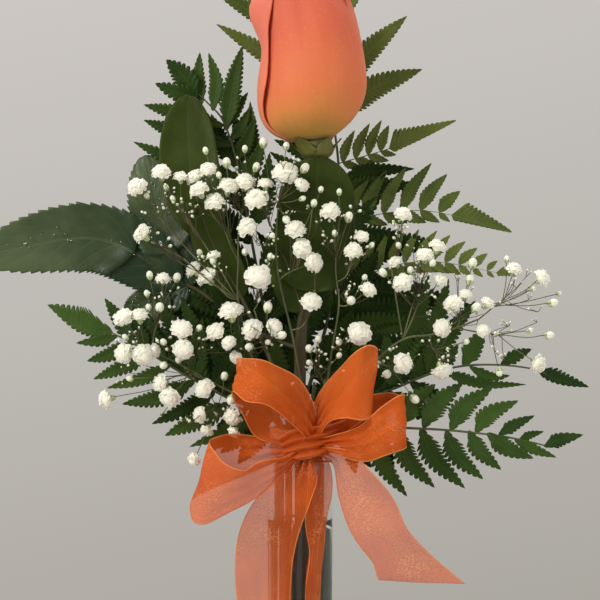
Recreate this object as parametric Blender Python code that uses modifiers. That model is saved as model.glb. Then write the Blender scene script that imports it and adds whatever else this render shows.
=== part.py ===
"""A single orange rose in a clear bud vase, with leatherleaf fern, broad lemon leaves,
baby's breath and a sheer ribbon bow tied round the stems just above the rim.

The tables below are in millimetres and are turned to metres where a mesh is made.
+Z is up, +Y is away from the viewer, and the origin is the middle of the vase's flat foot.
"""

import math

import bmesh
import bpy
from mathutils import Matrix, Vector

MM = 0.001
OBJECT_NAME = "rose_in_bud_vase"

# Vase: a straight neck over a flared, weighted foot.
VASE_HEIGHT = 203.0
FOOT_RADIUS = 31.0
NECK_RADIUS = 14.6
NECK_BORE = 12.4
NECK_BOTTOM = 124.0
VASE_FLOOR = 9.0
VASE_SIDES = 18

# Water, and how the stems stand in it.
WATER_LEVEL = 176.0
FIT_GAP = 0.3
STEM_FOOT = VASE_FLOOR + FIT_GAP
BUNDLE_TOP = 217.0
# Stems up to this radius are four-sided, thicker ones six-sided.
THIN_STEM = 1.3

# The band of ribbon that ties the stems above the rim.
BAND_INNER = 12.6
BAND_OUTER = 14.0
BAND_BOTTOM = 205.0
BAND_TOP = 217.0

# Thickness of what is thinner than this in life.
BLADE = 0.7
PETAL = 0.8
RIBBON = 0.6
RIB_HALF = 0.8
# Leaflets longer than this have a rounded outline of their own.
LONG_LEAFLET = 8.0

FRONT = Vector((0.0, -1.0, 0.0))

GREEN_FERN = (0.045, 0.105, 0.022)
GREEN_BROAD = (0.062, 0.100, 0.024)
GREEN_ROSE = (0.040, 0.085, 0.035)
GREEN_SPRAY = (0.200, 0.260, 0.100)
CORAL = (0.800, 0.200, 0.080)
ORANGE = (0.800, 0.160, 0.035)

# Where each stem stands in the neck (x, y) and its radius.
STEMS = {
    "rose": (0.0, 0.0, 2.4),
    "fern_back": (1.5, 7.5, 1.2),
    "fern_upper_left": (-5.0, 5.2, 1.1),
    "fern_lower_left": (-8.6, 0.6, 1.1),
    "fern_right": (6.5, 4.2, 1.1),
    "fern_lower_right": (8.6, -1.2, 1.1),
    "lemon_leaf_left": (-5.2, -3.4, 1.3),
    "lemon_leaf_centre": (-0.8, -6.2, 1.3),
    "babys_breath_left": (-7.6, -6.9, 0.8),
    "babys_breath_lower_left": (-10.3, -3.4, 0.8),
    "babys_breath_centre_left": (-4.2, -9.4, 0.8),
    "babys_breath_centre": (3.0, -8.6, 0.8),
    "babys_breath_right_centre": (6.4, -6.4, 0.8),
    "babys_breath_right": (9.4, -5.2, 0.8),
}

# Each frond: its rachis above the neck, then its pinnae as
# (root, middle, tip, reach on the left, reach on the right, lobes, depth of cut).
# Left and right are as seen looking along the pinna with its face to the viewer.
FRONDS = {
    "fern_back": (
        [(3, 9.5, 230), (9, 14, 251), (15.8, 19, 279), (18.6, 22, 311), (17.8, 24, 340),
         (14, 25, 368), (10.3, 25, 394), (5.6, 23, 414)],
        [((18.6, 22, 311), (45, 18.5, 318), (96, 6, 305), 22, 7, 9, 1.0),
         ((16, 19, 278), (48, 14, 293), (96, 7, 287), 17, 5, 8, 1.0),
         ((17.8, 24, 340), (44, 20, 346), (72, 16, 357), 15, 6, 5, 1.0),
         ((17.4, 24, 346), (34, 24, 365), (56, 23, 382), 8.5, 4, 3, 0.7),
         ((14, 25, 370), (30, 25, 391), (49, 24, 407), 7, 5, 3, 0.6),
         ((10.3, 25, 393), (20, 25, 409), (30, 25, 421), 5, 4, 3, 0.6),
         ((13.6, 25, 374), (-11, 25, 386), (-39, 23, 402), 3, 7.5, 4, 0.7),
         ((10.3, 25, 394), (-15, 25, 407), (-41, 23, 421), 3, 7, 3, 0.6)],
    ),
    "fern_upper_left": (
        [(-7.4, 7.4, 230), (-14.6, 10, 260), (-20.6, 11, 293), (-26, 12, 322), (-29, 12, 338),
         (-35, 12, 356), (-41.7, 12, 364), (-47.6, 11, 369.5)],
        [((-47, 11, 369), (-54, 10, 377), (-61, 9, 383), 5, 5, 3, 0.5),
         ((-46, 11.4, 368), (-57, 9, 369), (-66, 8, 373), 3.5, 3.5, 2, 0.6),
         ((-44, 12, 366), (-46, 13, 378), (-47, 13, 388), 3, 3, 3, 0.3),
         ((-41, 12, 363), (-41, 14, 376), (-43, 14, 388), 3.2, 3.2, 3, 0.3),
         ((-34, 12, 354), (-32, 13, 374), (-28, 13, 392), 5, 5, 3, 0.4),
         ((-28, 12, 334), (-36, 14.5, 347), (-40, 15, 357), 3.6, 3.6, 2, 0.4),
         ((-28, 12, 333), (-27, 14.5, 347), (-31, 15, 358), 3.6, 3.6, 2, 0.4),
         ((-25, 12, 318), (-22, 15, 343), (-24, 16, 365), 3.4, 3, 3, 0.5),
         ((-33, 12, 351), (-52, 8, 357), (-70, 6, 362), 3.6, 3.6, 3, 0.6),
         ((-30, 12, 343), (-52, 8, 350), (-70, 6, 356.5), 3, 3, 3, 0.6),
         ((-28, 12, 333), (-50, 8, 341), (-74, 5, 347), 3.6, 3.6, 3, 0.6)],
    ),
    "fern_right": (
        [(8, 4.8, 221), (15, 6.4, 225.5), (27, 8, 229), (43, 8, 234), (59, 7, 240.6),
         (74, 6, 244.3), (91, 5, 244.8), (106, 3, 243), (111, 2, 241)],
        [((42, 8, 234), (41, 9, 246), (39, 10, 259), 5, 5, 3, 0.3),
         ((54, 8, 239), (58, 9, 249), (65, 9, 261), 7, 7.5, 3, 0.3),
         ((64, 7, 242), (68, 7, 248), (72, 7, 254), 3, 3, 2, 0.4),
         ((74, 6, 244), (79, 7, 252), (85, 8, 262), 5, 4, 3, 0.3),
         ((91, 5, 245), (98, 5, 249), (105, 5, 252), 3, 3, 2, 0.5),
         ((64, 7, 242), (82, 5, 236), (102, 2, 236), 3, 2, 4, 0.5),
         ((77, 6, 244), (86, 5, 240), (95, 4, 240), 2, 3, 2, 0.5),
         ((106, 3, 243), (117, 1, 238), (130, 0, 235), 4.5, 2, 3, 0.6)],
    ),
    "fern_lower_right": (
        [(10.4, -2.6, 220), (16, -7, 221.5), (24, -11, 220.5), (34, -13.5, 218.5), (46, -14, 218),
         (66, -15, 217), (88, -16, 214.6), (101, -16, 212), (108, -16, 210.3)],
        [((42, -14, 218), (48, -12, 227), (58, -10, 237), 6.5, 6, 3, 0.7),
         ((54, -14, 218), (59, -13, 227), (69, -12, 235), 5, 5, 3, 0.7),
         ((66, -15, 217), (71, -14, 226), (84, -13, 235), 5, 5, 3, 0.6),
         ((77, -15, 216), (82, -15, 224), (93, -14, 230), 4.2, 4.5, 3, 0.5),
         ((87, -16, 215), (93, -15, 220.5), (102, -15, 224), 3.2, 3.6, 3, 0.4),
         ((94, -16, 213), (100, -15, 215), (107, -15, 217), 2.2, 2.2, 2, 0.4),
         ((107, -16, 210), (114, -15, 213), (124.5, -14, 215), 3.2, 3.2, 3, 0.5),
         ((32, -13, 217), (36, -14, 203), (46, -15, 189), 5, 5.4, 3, 0.8),
         ((42, -14, 218), (46, -15, 205), (58, -16, 193), 5.5, 6, 3, 0.8),
         ((52, -14, 218), (58, -16, 205), (71, -18, 193), 6, 6.3, 4, 0.8),
         ((63, -15, 217), (68, -16, 207), (78, -18, 198), 5, 5, 3, 0.8),
         ((74, -15, 217), (78, -16, 209), (86, -17, 202), 4, 4, 3, 0.6),
         ((82, -16, 216), (89, -17, 209), (100, -18, 206), 3.4, 3, 3, 0.5),
         ((95, -16, 213), (102, -17, 209), (112, -18, 206), 2.2, 2.2, 3, 0.5)],
    ),
    "fern_lower_left": (
        [(-9.8, 0.3, 220), (-19, -1.3, 225), (-33.6, -2.5, 231), (-53.7, -3, 242), (-71.8, -2, 253),
         (-85.4, -1, 260)],
        [((-84, -1, 259.5), (-98, 0, 262), (-114, 2, 272), 3, 9, 4, 0.7),
         ((-74, -2, 254), (-81, 0, 265), (-88, 1, 275), 3.6, 3.6, 3, 0.5),
         ((-82, -1, 258), (-90, -3, 256), (-100, -4, 255), 2.8, 2.8, 3, 0.4),
         ((-75, -2, 255), (-85, -4, 250), (-95, -5, 247), 3.4, 3.4, 3, 0.4),
         ((-67, -2, 250), (-80, -4, 244), (-92, -6, 239), 3.6, 3.6, 3, 0.6),
         ((-58, -3, 245), (-71, -5, 239), (-86, -7, 235), 3.2, 3.2, 3, 0.6),
         ((-47, -3, 238), (-62, -5, 231), (-79, -8, 228), 4.5, 4.5, 3, 0.6),
         ((-31, -2.5, 228), (-45, -5, 221), (-60, -8, 214), 5, 5, 3, 0.7),
         ((-24, -2, 224), (-33, -5, 216), (-49, -8, 209), 3.6, 3.6, 3, 0.7),
         ((-60, -3, 246), (-65, -1, 256), (-68, 0, 265), 3.6, 3.6, 2, 0.5),
         ((-42, -3, 235), (-47, -1, 247), (-50, 1, 258), 4, 4, 3, 0.6)],
    ),
}

# Broad leaves: (root, middle, tip, half width, fullness, teeth, cup).
LEMON_LEAVES = {
    "lemon_leaf_left": (
        [(-5.6, -3.8, 223), (-9.8, -5, 238), (-17.9, -5, 258.6), (-26.8, -4, 276.5),
         (-36, -1, 297), (-42, -1, 309)],
        [((-41, -1, 307), (-47, 0.5, 335), (-50, 3, 367), 12.0, 2.4, 0, 1.6),
         ((-26, -4, 275), (-38, -4.5, 297), (-46, -6.5, 318), 8.6, 2.4, 0, 1.2)],
    ),
    "lemon_leaf_centre": (
        [(-1.2, -7, 228), (-1.6, -8.4, 252), (0, -10, 266), (2.6, -12, 273), (7, -14, 279)],
        [((6.4, -13.7, 277.5), (7, -15.5, 309), (8, -18.8, 337), 17.2, 3.6, 0, 1.4),
         ((1.2, -10.8, 269), (-4, -12.2, 285), (-7, -13.4, 300), 9.0, 2.4, 0, 1.0)],
    ),
}

ROSE_STEM = [(0.2, -0.1, 226), (0.9, -0.5, 252), (2.7, -2, 288), (5, -6.4, 315),
             (7.6, -12, 338)]
ROSE_PETIOLE = [(1.2, -0.5, 252), (-14, 5, 257), (-32, 6, 268), (-45, 6, 278), (-56, 5.4, 283)]
ROSE_LEAFLETS = [
    ((-54, 5.4, 282), (-92, 3, 302), (-144, -8, 294), 16.5, 2.6, 8, 2.6),
    ((-49, 5.8, 281), (-62, 6, 308), (-71, 7, 340), 14.5, 2.6, 6, 1.6),
]

# Bloom: its base, its top, and the half width of its outline up the axis.
BLOOM_BASE = (7.1, -12.0, 343.5)
BLOOM_TOP = (0.9, -12.0, 417.5)
BLOOM_OUTLINE = [(0, 6.0), (5, 16.2), (9, 19.4), (16, 23.6), (24, 25.0), (33, 24.6), (43, 23.0),
                 (50, 22.0), (57, 21.6), (64, 20.2), (74, 16.5)]
# Whorls of petals: (count, share of the outline, height, first angle, half span, spiral, flare).
WHORLS = [
    (5, 0.965, 66.0, -38.0, 52.0, 1.0, 2.4),
    (4, 0.78, 71.0, 10.0, 58.0, 1.0, 0.8),
]
CORE_SHARE = 0.55
CORE_HEIGHT = 71.0
SEPAL_ANGLES = (-96.0, -24.0, 48.0, 120.0, 192.0)

# Sprays of baby's breath: stem points above the neck, then branches as
# (stem point it leaves, fork, florets); a floret is (x, y, z, size).
STALK = 0.5
SPRAYS = {
    "babys_breath_left": (
        [(-8.6, -7.2, 220), (-15, -9, 233), (-22, -14, 252), (-27, -18, 274), (-27, -18, 291),
         (-27, -18, 302)],
        [(3, (-50, -27, 292), [(-68, -31, 303, 8)]),
         (3, (-35, -17, 279), [(-41, -17, 285, 9), (-47, -16, 288, 7), (-38, -17, 294, 6)]),
         (3, (-61, -24, 310), [(-70, -31, 323, 8), (-60, -25, 330, 8)]),
         (3, (-50, -20, 311), [(-52, -23, 328, 6)]),
         (4, (-34, -20, 308), [(-31, -24, 324, 8), (-37, -27, 317, 8), (-40, -24, 331, 7),
                               (-44, -28, 322, 8), (-46, -21, 328, 7.5)]),
         (5, (-25, -19, 314), [(-24, -22, 326, 8.5)])],
    ),
    "babys_breath_lower_left": (
        [(-11.4, -4, 220), (-24, -9, 230), (-39, -12, 238), (-53, -14, 246), (-65, -15, 252)],
        [(1, (-37, -13, 228), [(-42, -19, 236, 8), (-44, -19, 224, 6.5),
                               (-41, -18, 217, 5.5), (-46, -24, 205, 5.5)]),
         (2, (-50, -15, 243), [(-61, -21, 238, 7.5), (-57, -23, 232, 8), (-85, -20, 231, 8)]),
         (3, (-55, -17, 252), [(-51, -24, 262, 8.5), (-50, -27, 253, 8)]),
         (4, (-70, -17, 255), [(-68, -24, 250, 8), (-63, -21, 252, 5.5), (-77, -21, 251, 8),
                               (-77, -22, 267, 8), (-70, -20, 268, 7.5)]),
         (4, (-63, -14, 265), [(-60, -15, 284, 6)])],
    ),
    "babys_breath_centre_left": (
        [(-4.8, -9.8, 220), (-9.3, -12, 234), (-15, -16, 254), (-20, -20, 270)],
        [(2, (-28, -17, 252), [(-30, -23, 270, 9.8), (-37, -21, 261, 8), (-31, -25, 256, 6),
                               (-28, -20, 249, 5.6)]),
         (1, (-24, -14, 226), [(-30, -18, 223, 7), (-29, -17, 216, 5.4)]),
         (2, (-16, -18, 258), [(-21, -24, 262, 8.5), (-11, -23, 263, 7)]),
         (3, (-19, -21, 275), [(-18, -28, 285, 10.5)])],
    ),
    "babys_breath_centre": (
        [(2.8, -9.2, 220), (1.3, -13, 234), (-3.9, -18, 261), (-9.1, -20, 283), (-10.4, -21, 298),
         (-9.6, -21, 314)],
        [(5, (-9, -22, 318), [(-6, -26, 330, 10.5), (1, -28, 324, 6)]),
         (4, (-15, -22, 312), [(-19, -28, 318, 9.4), (-15, -24, 325, 6)]),
         (4, (-16, -22, 298), [(-23, -27, 306, 8)]),
         (3, (-1, -22, 288), [(-2, -27, 305, 8), (1, -28, 297, 8), (6, -27, 291, 8.5)]),
         (2, (3, -20, 266), [(5, -26, 274, 8)])],
    ),
    "babys_breath_right_centre": (
        [(7.0, -7.0, 220), (11.1, -10, 233), (14, -14, 252), (17, -18, 272), (16, -19.5, 282)],
        [(4, (16, -20.5, 296), [(13, -27, 313, 8)]),
         (4, (22, -20, 289), [(23, -26, 296, 7.4), (27, -22, 302, 6)]),
         (3, (23, -19, 273), [(30, -25, 279, 6.5)]),
         (2, (20, -17, 258), [(26, -26, 260, 9.4)])],
    ),
    "babys_breath_right": (
        [(10.4, -5.8, 220), (20, -9, 230), (33, -14, 247), (45, -17, 257), (57, -18, 259),
         (68, -19, 262), (78, -20, 266)],
        [(3, (52, -20, 274), [(44, -26, 282, 8), (61, -24, 283, 6)]),
         (3, (54, -20, 285), [(54, -25, 294, 7.4), (60, -22, 298, 7), (41, -20, 291, 6)]),
         (3, (40, -18, 288), [(45, -20, 312, 7)]),
         (5, (69, -20, 267), [(66, -26, 273, 8), (72, -22, 277, 5.4), (61, -25, 262, 7.4),
                              (82, -21, 273, 6)]),
         (5, (89, -20, 259), [(104, -21, 246, 7.4), (79, -25, 261, 5.4)]),
         (6, (89, -21, 275), [(93, -23, 288, 6.5), (105, -25, 284, 7.4)]),
         (2, (40, -16, 245), [(45, -23, 247, 8.4)]),
         (4, (59, -18, 252), [(62, -22, 243, 8.4)])],
    ),
}

# The bow: each run of ribbon by its two edges, from the knot and, for a loop, back to it.
BOW_RUNS = {
    "upper_left": (
        [(5, -27, 214), (7, -33, 226), (0, -40, 241), (-13, -43, 248), (-24, -41, 250),
         (-26, -33, 248), (-16, -27, 241), (-2, -24, 228), (4, -23, 214)],
        [(4, -29, 212), (0, -40, 219), (-12, -54, 230), (-22, -57, 233), (-28, -48, 236),
         (-25, -36, 226), (-18, -30, 215), (-6, -26, 212), (3, -24, 211)]),
    "upper_right": (
        [(5, -27, 215), (8, -31, 233), (19, -36, 248), (28, -36, 255), (33, -30, 253),
         (26, -24, 243), (15, -21, 229), (6, -21, 215)],
        [(6, -29, 213), (11, -40, 222), (19, -48, 225), (26, -46, 224), (30, -36, 225),
         (24, -27, 220), (15, -24, 215), (6, -22, 212)]),
    "right": (
        [(6, -28, 214), (15, -36, 217), (26, -41, 222), (35, -41, 230), (42, -36, 234),
         (44, -27, 233), (37, -20, 234), (23, -18, 230), (7, -20, 215)],
        [(6, -29, 212), (15, -38, 209), (26, -47, 207), (36, -49, 210), (44, -44, 212),
         (45, -34, 213), (36, -24, 213), (23, -20, 211), (7, -21, 211)]),
    "left": (
        [(3, -28, 212), (-6, -35, 208), (-16, -43, 207), (-23, -50, 204), (-31, -52, 207),
         (-36, -48, 212), (-37, -40, 216), (-29, -30, 217), (-16, -25, 215), (1, -23, 212)],
        [(2, -28, 209), (-7, -36, 201), (-16, -43, 193), (-28, -50, 187), (-39, -54, 182),
         (-45, -50, 184), (-45, -42, 190), (-34, -32, 195), (-18, -26, 201), (0, -23, 209)]),
    "tail_left": (
        [(1, -27, 210), (-10, -31, 198), (-20, -33, 188), (-26, -32, 175), (-28, -29, 160),
         (-27, -27, 144), (-25, -26, 128), (-22, -25, 115)],
        [(4, -29, 209), (7, -34, 199), (5, -36, 190), (0, -34, 176), (-3, -30, 162),
         (-4, -28, 144), (-2, -27, 128), (1, -26, 105)]),
    "tail_middle": (
        [(4, -25, 210), (3, -30, 198), (2, -33, 182), (3, -32, 165), (2, -31, 146),
         (0, -30, 126), (0, -29, 113)],
        [(8, -24, 210), (14, -22, 202), (14, -20, 191), (12, -18, 176), (10, -17, 157),
         (9, -17, 141), (7, -17, 122)]),
    "tail_right": (
        [(6, -29, 212), (15, -37, 212), (22, -43, 210), (28, -46, 205), (34, -47, 198),
         (40, -45, 189), (46, -42, 177), (56, -39, 166), (70, -36, 154)],
        [(6, -26, 210), (11, -24, 206), (15, -24, 202), (16, -28, 190), (20, -31, 179),
         (26, -33, 169), (31, -34, 162), (33, -35, 156), (34, -35, 155)]),
}
BOW_CENTRE = (4.5, -21.4, 212.0)
BOW_CENTRE_SIZE = (4.4, 8.4, 4.8)


# ---------------------------------------------------------------- curves and small helpers

def clear_scene():
    """Remove whatever the file already holds."""
    for item in list(bpy.data.objects):
        bpy.data.objects.remove(item)


def material(name, colour, roughness, alpha=1.0):
    """A Principled material of one colour."""
    surface = bpy.data.materials.new(name)
    surface.use_nodes = True
    shader = surface.node_tree.nodes["Principled BSDF"]
    shader.inputs["Base Color"].default_value = (*colour, 1.0)
    shader.inputs["Roughness"].default_value = roughness
    shader.inputs["Alpha"].default_value = alpha
    surface.diffuse_color = (*colour, alpha)
    return surface


def along(points, share):
    """The point at a share of the way along a smooth curve through the given ones."""
    route = [Vector(point) for point in points]
    route = [2 * route[0] - route[1]] + route + [2 * route[-1] - route[-2]]
    spans = len(points) - 1
    place = min(max(share, 0.0), 1.0) * spans
    span = min(int(place), spans - 1)
    t = place - span
    a, b, c, d = route[span:span + 4]
    return 0.5 * (2 * b + (c - a) * t + (2 * a - 5 * b + 4 * c - d) * t * t
                  + (3 * b - a - 3 * c + d) * t ** 3)


def heading(points, share):
    """The direction of that curve there."""
    step = 0.01
    return (along(points, share + step) - along(points, share - step)).normalized()


def frame_at(points, share):
    """Middle, heading, sideways and facing directions on a blade whose face is to the front."""
    forward = heading(points, share)
    side = forward.cross(FRONT).normalized()
    return along(points, share), forward, side, side.cross(forward).normalized()


def interpolate(pairs, x):
    """Straight-line reading of a table of (x, value) pairs."""
    for (x0, y0), (x1, y1) in zip(pairs, pairs[1:]):
        if x <= x1:
            return y0 + (y1 - y0) * max(x - x0, 0.0) / (x1 - x0)
    return pairs[-1][1]


def evaluated_mesh(item):
    """The mesh an object shows with its modifiers."""
    graph = bpy.context.evaluated_depsgraph_get()
    return bpy.data.meshes.new_from_object(item.evaluated_get(graph))


def link(item, group):
    """Put an object in a collection and hand it back."""
    group.objects.link(item)
    return item


def mesh_object(name, points, faces):
    """An object from points in millimetres."""
    mesh = bpy.data.meshes.new(name)
    mesh.from_pydata([Vector(point) * MM for point in points], [], faces)
    mesh.update()
    return bpy.data.objects.new(name, mesh)


# ---------------------------------------------------------------- pieces

def sheet(points, faces, thickness, workshop):
    """A closed blade: an open sheet of triangles given a thickness."""
    item = link(mesh_object("sheet", points, faces), workshop)
    shell = item.modifiers.new("thickness", "SOLIDIFY")
    shell.thickness = thickness * MM
    shell.offset = 0.0
    return bake(item, workshop)


def bake(item, workshop):
    """Replace an object by a plain one with its modifiers applied."""
    mesh = evaluated_mesh(item)
    mesh.transform(item.matrix_world)
    bpy.data.objects.remove(item)
    return link(bpy.data.objects.new("piece", mesh), workshop)


def tube(points, radii, workshop, resolution=0):
    """A closed tapered rod through points in millimetres."""
    curve = bpy.data.curves.new("rod", "CURVE")
    curve.dimensions = "3D"
    curve.bevel_depth = MM
    curve.bevel_resolution = resolution
    curve.use_fill_caps = True
    line = curve.splines.new("POLY")
    line.points.add(len(points) - 1)
    for spot, point, radius in zip(line.points, points, radii):
        spot.co = (*(Vector(point) * MM), 1.0)
        spot.radius = radius
    item = bake(link(bpy.data.objects.new("rod", curve), workshop), workshop)
    weld(item.data)
    return item


def weld(mesh):
    """Join the caps of a rod to its wall."""
    work = bmesh.new()
    work.from_mesh(mesh)
    bmesh.ops.remove_doubles(work, verts=work.verts, dist=1e-6)
    bmesh.ops.triangulate(work, faces=work.faces)
    work.to_mesh(mesh)
    work.free()


def turned(name, profile, sides, group, ring=False):
    """A turned solid: an outline of (radius, height), down its outer side; a ring's is closed."""
    edges = [(i, i + 1) for i in range(len(profile) - 1)]
    if ring:
        edges.append((len(profile) - 1, 0))
    mesh = bpy.data.meshes.new(name)
    mesh.from_pydata([(r * MM, 0.0, z * MM) for r, z in profile], edges, [])
    item = link(bpy.data.objects.new(name, mesh), group)
    screw = item.modifiers.new("turn", "SCREW")
    screw.steps = sides
    screw.render_steps = sides
    screw.use_merge_vertices = True
    screw.merge_threshold = 0.00001
    return item


def largest_body(mesh):
    """Keep the biggest body of a joined mesh: sealed pockets go, and scraps that only touch it."""
    work = bmesh.new()
    work.from_mesh(mesh)
    bmesh.ops.triangulate(work, faces=work.faces)
    left = set(work.faces)
    bodies = []
    while left:
        body = [left.pop()]
        for face in body:
            plain = [edge for edge in face.edges if len(edge.link_faces) == 2]
            near = {other for edge in plain for other in edge.link_faces} & left
            body.extend(near)
            left -= near
        bodies.append(body)
    bodies.sort(key=len)
    bmesh.ops.delete(work, geom=[face for body in bodies[:-1] for face in body], context="FACES")
    work.to_mesh(mesh)
    work.free()


def fuse(name, pieces, surface, group):
    """Join pieces into one named body with one union."""
    base = pieces[0]
    joining = bpy.data.collections.new("joining")
    bpy.context.scene.collection.children.link(joining)
    for piece in pieces[1:]:
        joining.objects.link(piece)
    union = base.modifiers.new("union", "BOOLEAN")
    union.operation = "UNION"
    union.operand_type = "COLLECTION"
    union.collection = joining
    union.solver = "MANIFOLD"
    mesh = evaluated_mesh(base)
    for piece in pieces:
        bpy.data.objects.remove(piece)
    bpy.data.collections.remove(joining)
    largest_body(mesh)
    mesh.name = name
    mesh.materials.clear()
    mesh.materials.append(surface)
    return link(bpy.data.objects.new(name, mesh), group)


def stem_route(name, above):
    """A stem's whole route: up from the vase floor, through the neck, then its own way."""
    x, y, _ = STEMS[name]
    return [(x, y, STEM_FOOT), (x, y, BUNDLE_TOP)] + above


def stem(name, above, workshop, tip_share=0.6, resolution=1, steps=1):
    """The rod of a stem, smooth above the neck and tapering to its tip."""
    radius = STEMS[name][2]
    route = stem_route(name, above)
    free = route[1:]
    count = steps * (len(free) - 1)
    smooth = [along(free, i / count) for i in range(count + 1)]
    radii = [radius] + [radius * (1 - (1 - tip_share) * i / count) for i in range(count + 1)]
    return tube(route[:1] + smooth, radii, workshop, resolution)


# ---------------------------------------------------------------- foliage

def pinna(root, middle, tip, left, right, lobes, cut, workshop):
    """One pinna as a thin blade cut towards its rib into forward-leaning leaflets."""
    line = [root, middle, tip]
    length = (Vector(middle) - Vector(root)).length + (Vector(tip) - Vector(middle)).length
    pitch = 0.9 * length / lobes
    points = []
    faces = []

    def reach_at(share, reach):
        """Leaflets grow quickly from the root and shrink evenly to the tip."""
        return reach * min(1.0, 0.55 + 4.0 * share) * (1.0 - share) ** 0.75

    def place(share, side, reach, lean, droop):
        middle_point, forward, sideways, facing = frame_at(line, share)
        points.append(middle_point + sideways * side * reach + forward * lean - facing * droop)
        return len(points) - 1

    notches = {-1: [], 1: []}
    for step in range(lobes + 1):
        share = 0.9 * step / lobes
        for side, reach in ((-1, left), (1, right)):
            web = RIB_HALF * (1 - 0.5 * share) + (1 - cut * (1 - share)) * 0.6 * reach_at(share, reach)
            notches[side].append(place(share, side, web if step else RIB_HALF, 0.0, 0.0))
    end = place(1.0, 1, 0.15, 0.0, 0.0)
    for step in range(lobes):
        a, b = notches[-1][step], notches[1][step]
        c, d = notches[-1][step + 1], notches[1][step + 1]
        faces += [(a, b, d), (a, d, c)]
        share = 0.9 * (step + 0.5) / lobes
        for side, reach in ((-1, left), (1, right)):
            far = reach_at(share, reach) + RIB_HALF
            lean = 0.45 * far
            outline = [notches[side][step]]
            if reach > LONG_LEAFLET:
                outline.append(place(share, side, 0.55 * far, 0.5 * lean - 0.3 * pitch, 0.03 * far))
            outline.append(place(share, side, far, lean, 0.10 * far))
            onward = notches[side][step + 1]
            for first, second in zip(outline, outline[1:]):
                faces.append((first, second, onward) if side > 0 else (second, first, onward))
    faces.append((notches[-1][-1], notches[1][-1], end))
    return sheet(points, faces, BLADE, workshop)


def broad_leaf(root, middle, tip, half, fullness, teeth, cup, workshop):
    """A broad leaf: a rounded outline, cupped along its midrib, toothed if it has teeth."""
    line = [root, middle, tip]
    rows = 2 * teeth if teeth else 8
    columns = (-1.0, 0.0, 1.0)
    points = []
    for row in range(rows + 1):
        share = row / rows
        centre, forward, side, facing = frame_at(line, share)
        width = half * max(1 - abs(1 - 2 * share ** 0.85) ** fullness, 0.0) ** (1 / 1.8)
        width = max(width, 1.0 if row == 0 else 0.3)
        tooth = 0.9 if teeth and row % 2 == 0 and 0 < row < rows else 1.0
        for column in columns:
            across = column * width * tooth
            lift = cup * abs(column) * width / half
            lean = 0.12 * width * abs(column) if teeth and row % 2 else 0.0
            points.append(centre + side * across + facing * lift + forward * lean)
    faces = []
    wide = len(columns)
    for row in range(rows):
        for column in range(wide - 1):
            a = row * wide + column
            b, c, d = a + 1, a + wide + 1, a + wide
            faces += [(a, b, d), (b, c, d)] if (row + column) % 2 else [(a, b, c), (a, c, d)]
    return sheet(points, faces, BLADE, workshop)


def build_fronds(group, workshop):
    """Each fern frond: a tapering rachis with its pinnae."""
    surface = material("fern green", GREEN_FERN, 0.55)
    for name, (rachis, pinnae) in FRONDS.items():
        pieces = [stem(name, rachis, workshop, 0.55, resolution=0)]
        pieces += [pinna(*row, workshop) for row in pinnae]
        fuse(name, pieces, surface, group)


def build_lemon_leaves(group, workshop):
    """Each sprig of smooth broad leaves on its brown stem."""
    surface = material("broad leaf green", GREEN_BROAD, 0.4)
    for name, (above, leaves) in LEMON_LEAVES.items():
        pieces = [stem(name, above, workshop, 0.7, resolution=0)]
        pieces += [broad_leaf(*row, workshop) for row in leaves]
        fuse(name, pieces, surface, group)


# ---------------------------------------------------------------- rose

def bloom_matrix():
    """Turns the bloom's own upright axis onto its leaning one."""
    base = Vector(BLOOM_BASE)
    axis = Vector(BLOOM_TOP) - base
    return Matrix.Translation(base) @ axis.to_track_quat("Z", "Y").to_matrix().to_4x4()


def petal(share, height, angle, half_span, spiral, flare, frame, workshop):
    """One petal: part of a whorl's wall, narrow at its foot and rounded at its top."""
    across, up = 4, 5
    points = []
    for row in range(up + 1):
        v = row / up
        span = math.radians(half_span) * min(1.0, 0.55 + 1.1 * v) * (1 - 0.18 * v ** 6)
        for column in range(across + 1):
            u = 2 * column / across - 1
            z = height * v * (1 - 0.10 * u * u * v * v) + 1.2
            radius = share * interpolate(BLOOM_OUTLINE, z) + spiral * u * min(1.0, 3 * v)
            radius += flare * max(0.0, (v - 0.72) / 0.28) ** 2
            turn = math.radians(angle) + span * u
            spot = (radius * math.sin(turn), -radius * math.cos(turn), z)
            points.append(frame @ Vector(spot))
    faces = []
    wide = across + 1
    for row in range(up):
        for column in range(across):
            a = row * wide + column
            faces += [(a, a + 1, a + wide + 1), (a, a + wide + 1, a + wide)]
    return sheet(points, faces, PETAL, workshop)


def turned_piece(profile, sides, frame, workshop):
    """A turned solid put in place in the bloom's own frame."""
    item = bake(turned("core", profile, sides, workshop), workshop)
    scale = Matrix.Scale(MM, 4)
    item.data.transform(scale @ frame @ scale.inverted())
    return item


def build_bloom(group, workshop):
    """The bloom: whorls of petals round a small closed core."""
    frame = bloom_matrix()
    core = [(0.0, CORE_HEIGHT)]
    for share in (0.93, 0.75, 0.5, 0.25, 0.1):
        z = CORE_HEIGHT * share
        narrowing = math.sqrt(1 - share ** 4)
        core.append((CORE_SHARE * interpolate(BLOOM_OUTLINE, z) * narrowing, z))
    core += [(8.9, 3.2), (8.6, 0.6), (0.0, 0.6)]
    pieces = [turned_piece(core, 10, frame, workshop)]
    for count, share, height, first, half_span, spiral, flare in WHORLS:
        for number in range(count):
            angle = first + 360.0 * number / count
            top = height - 2.5 * (number % 2)
            pieces.append(petal(share, top, angle, half_span, spiral, flare, frame, workshop))
    fuse("rose_bloom", pieces, material("petal coral", CORAL, 0.5), group)


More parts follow.
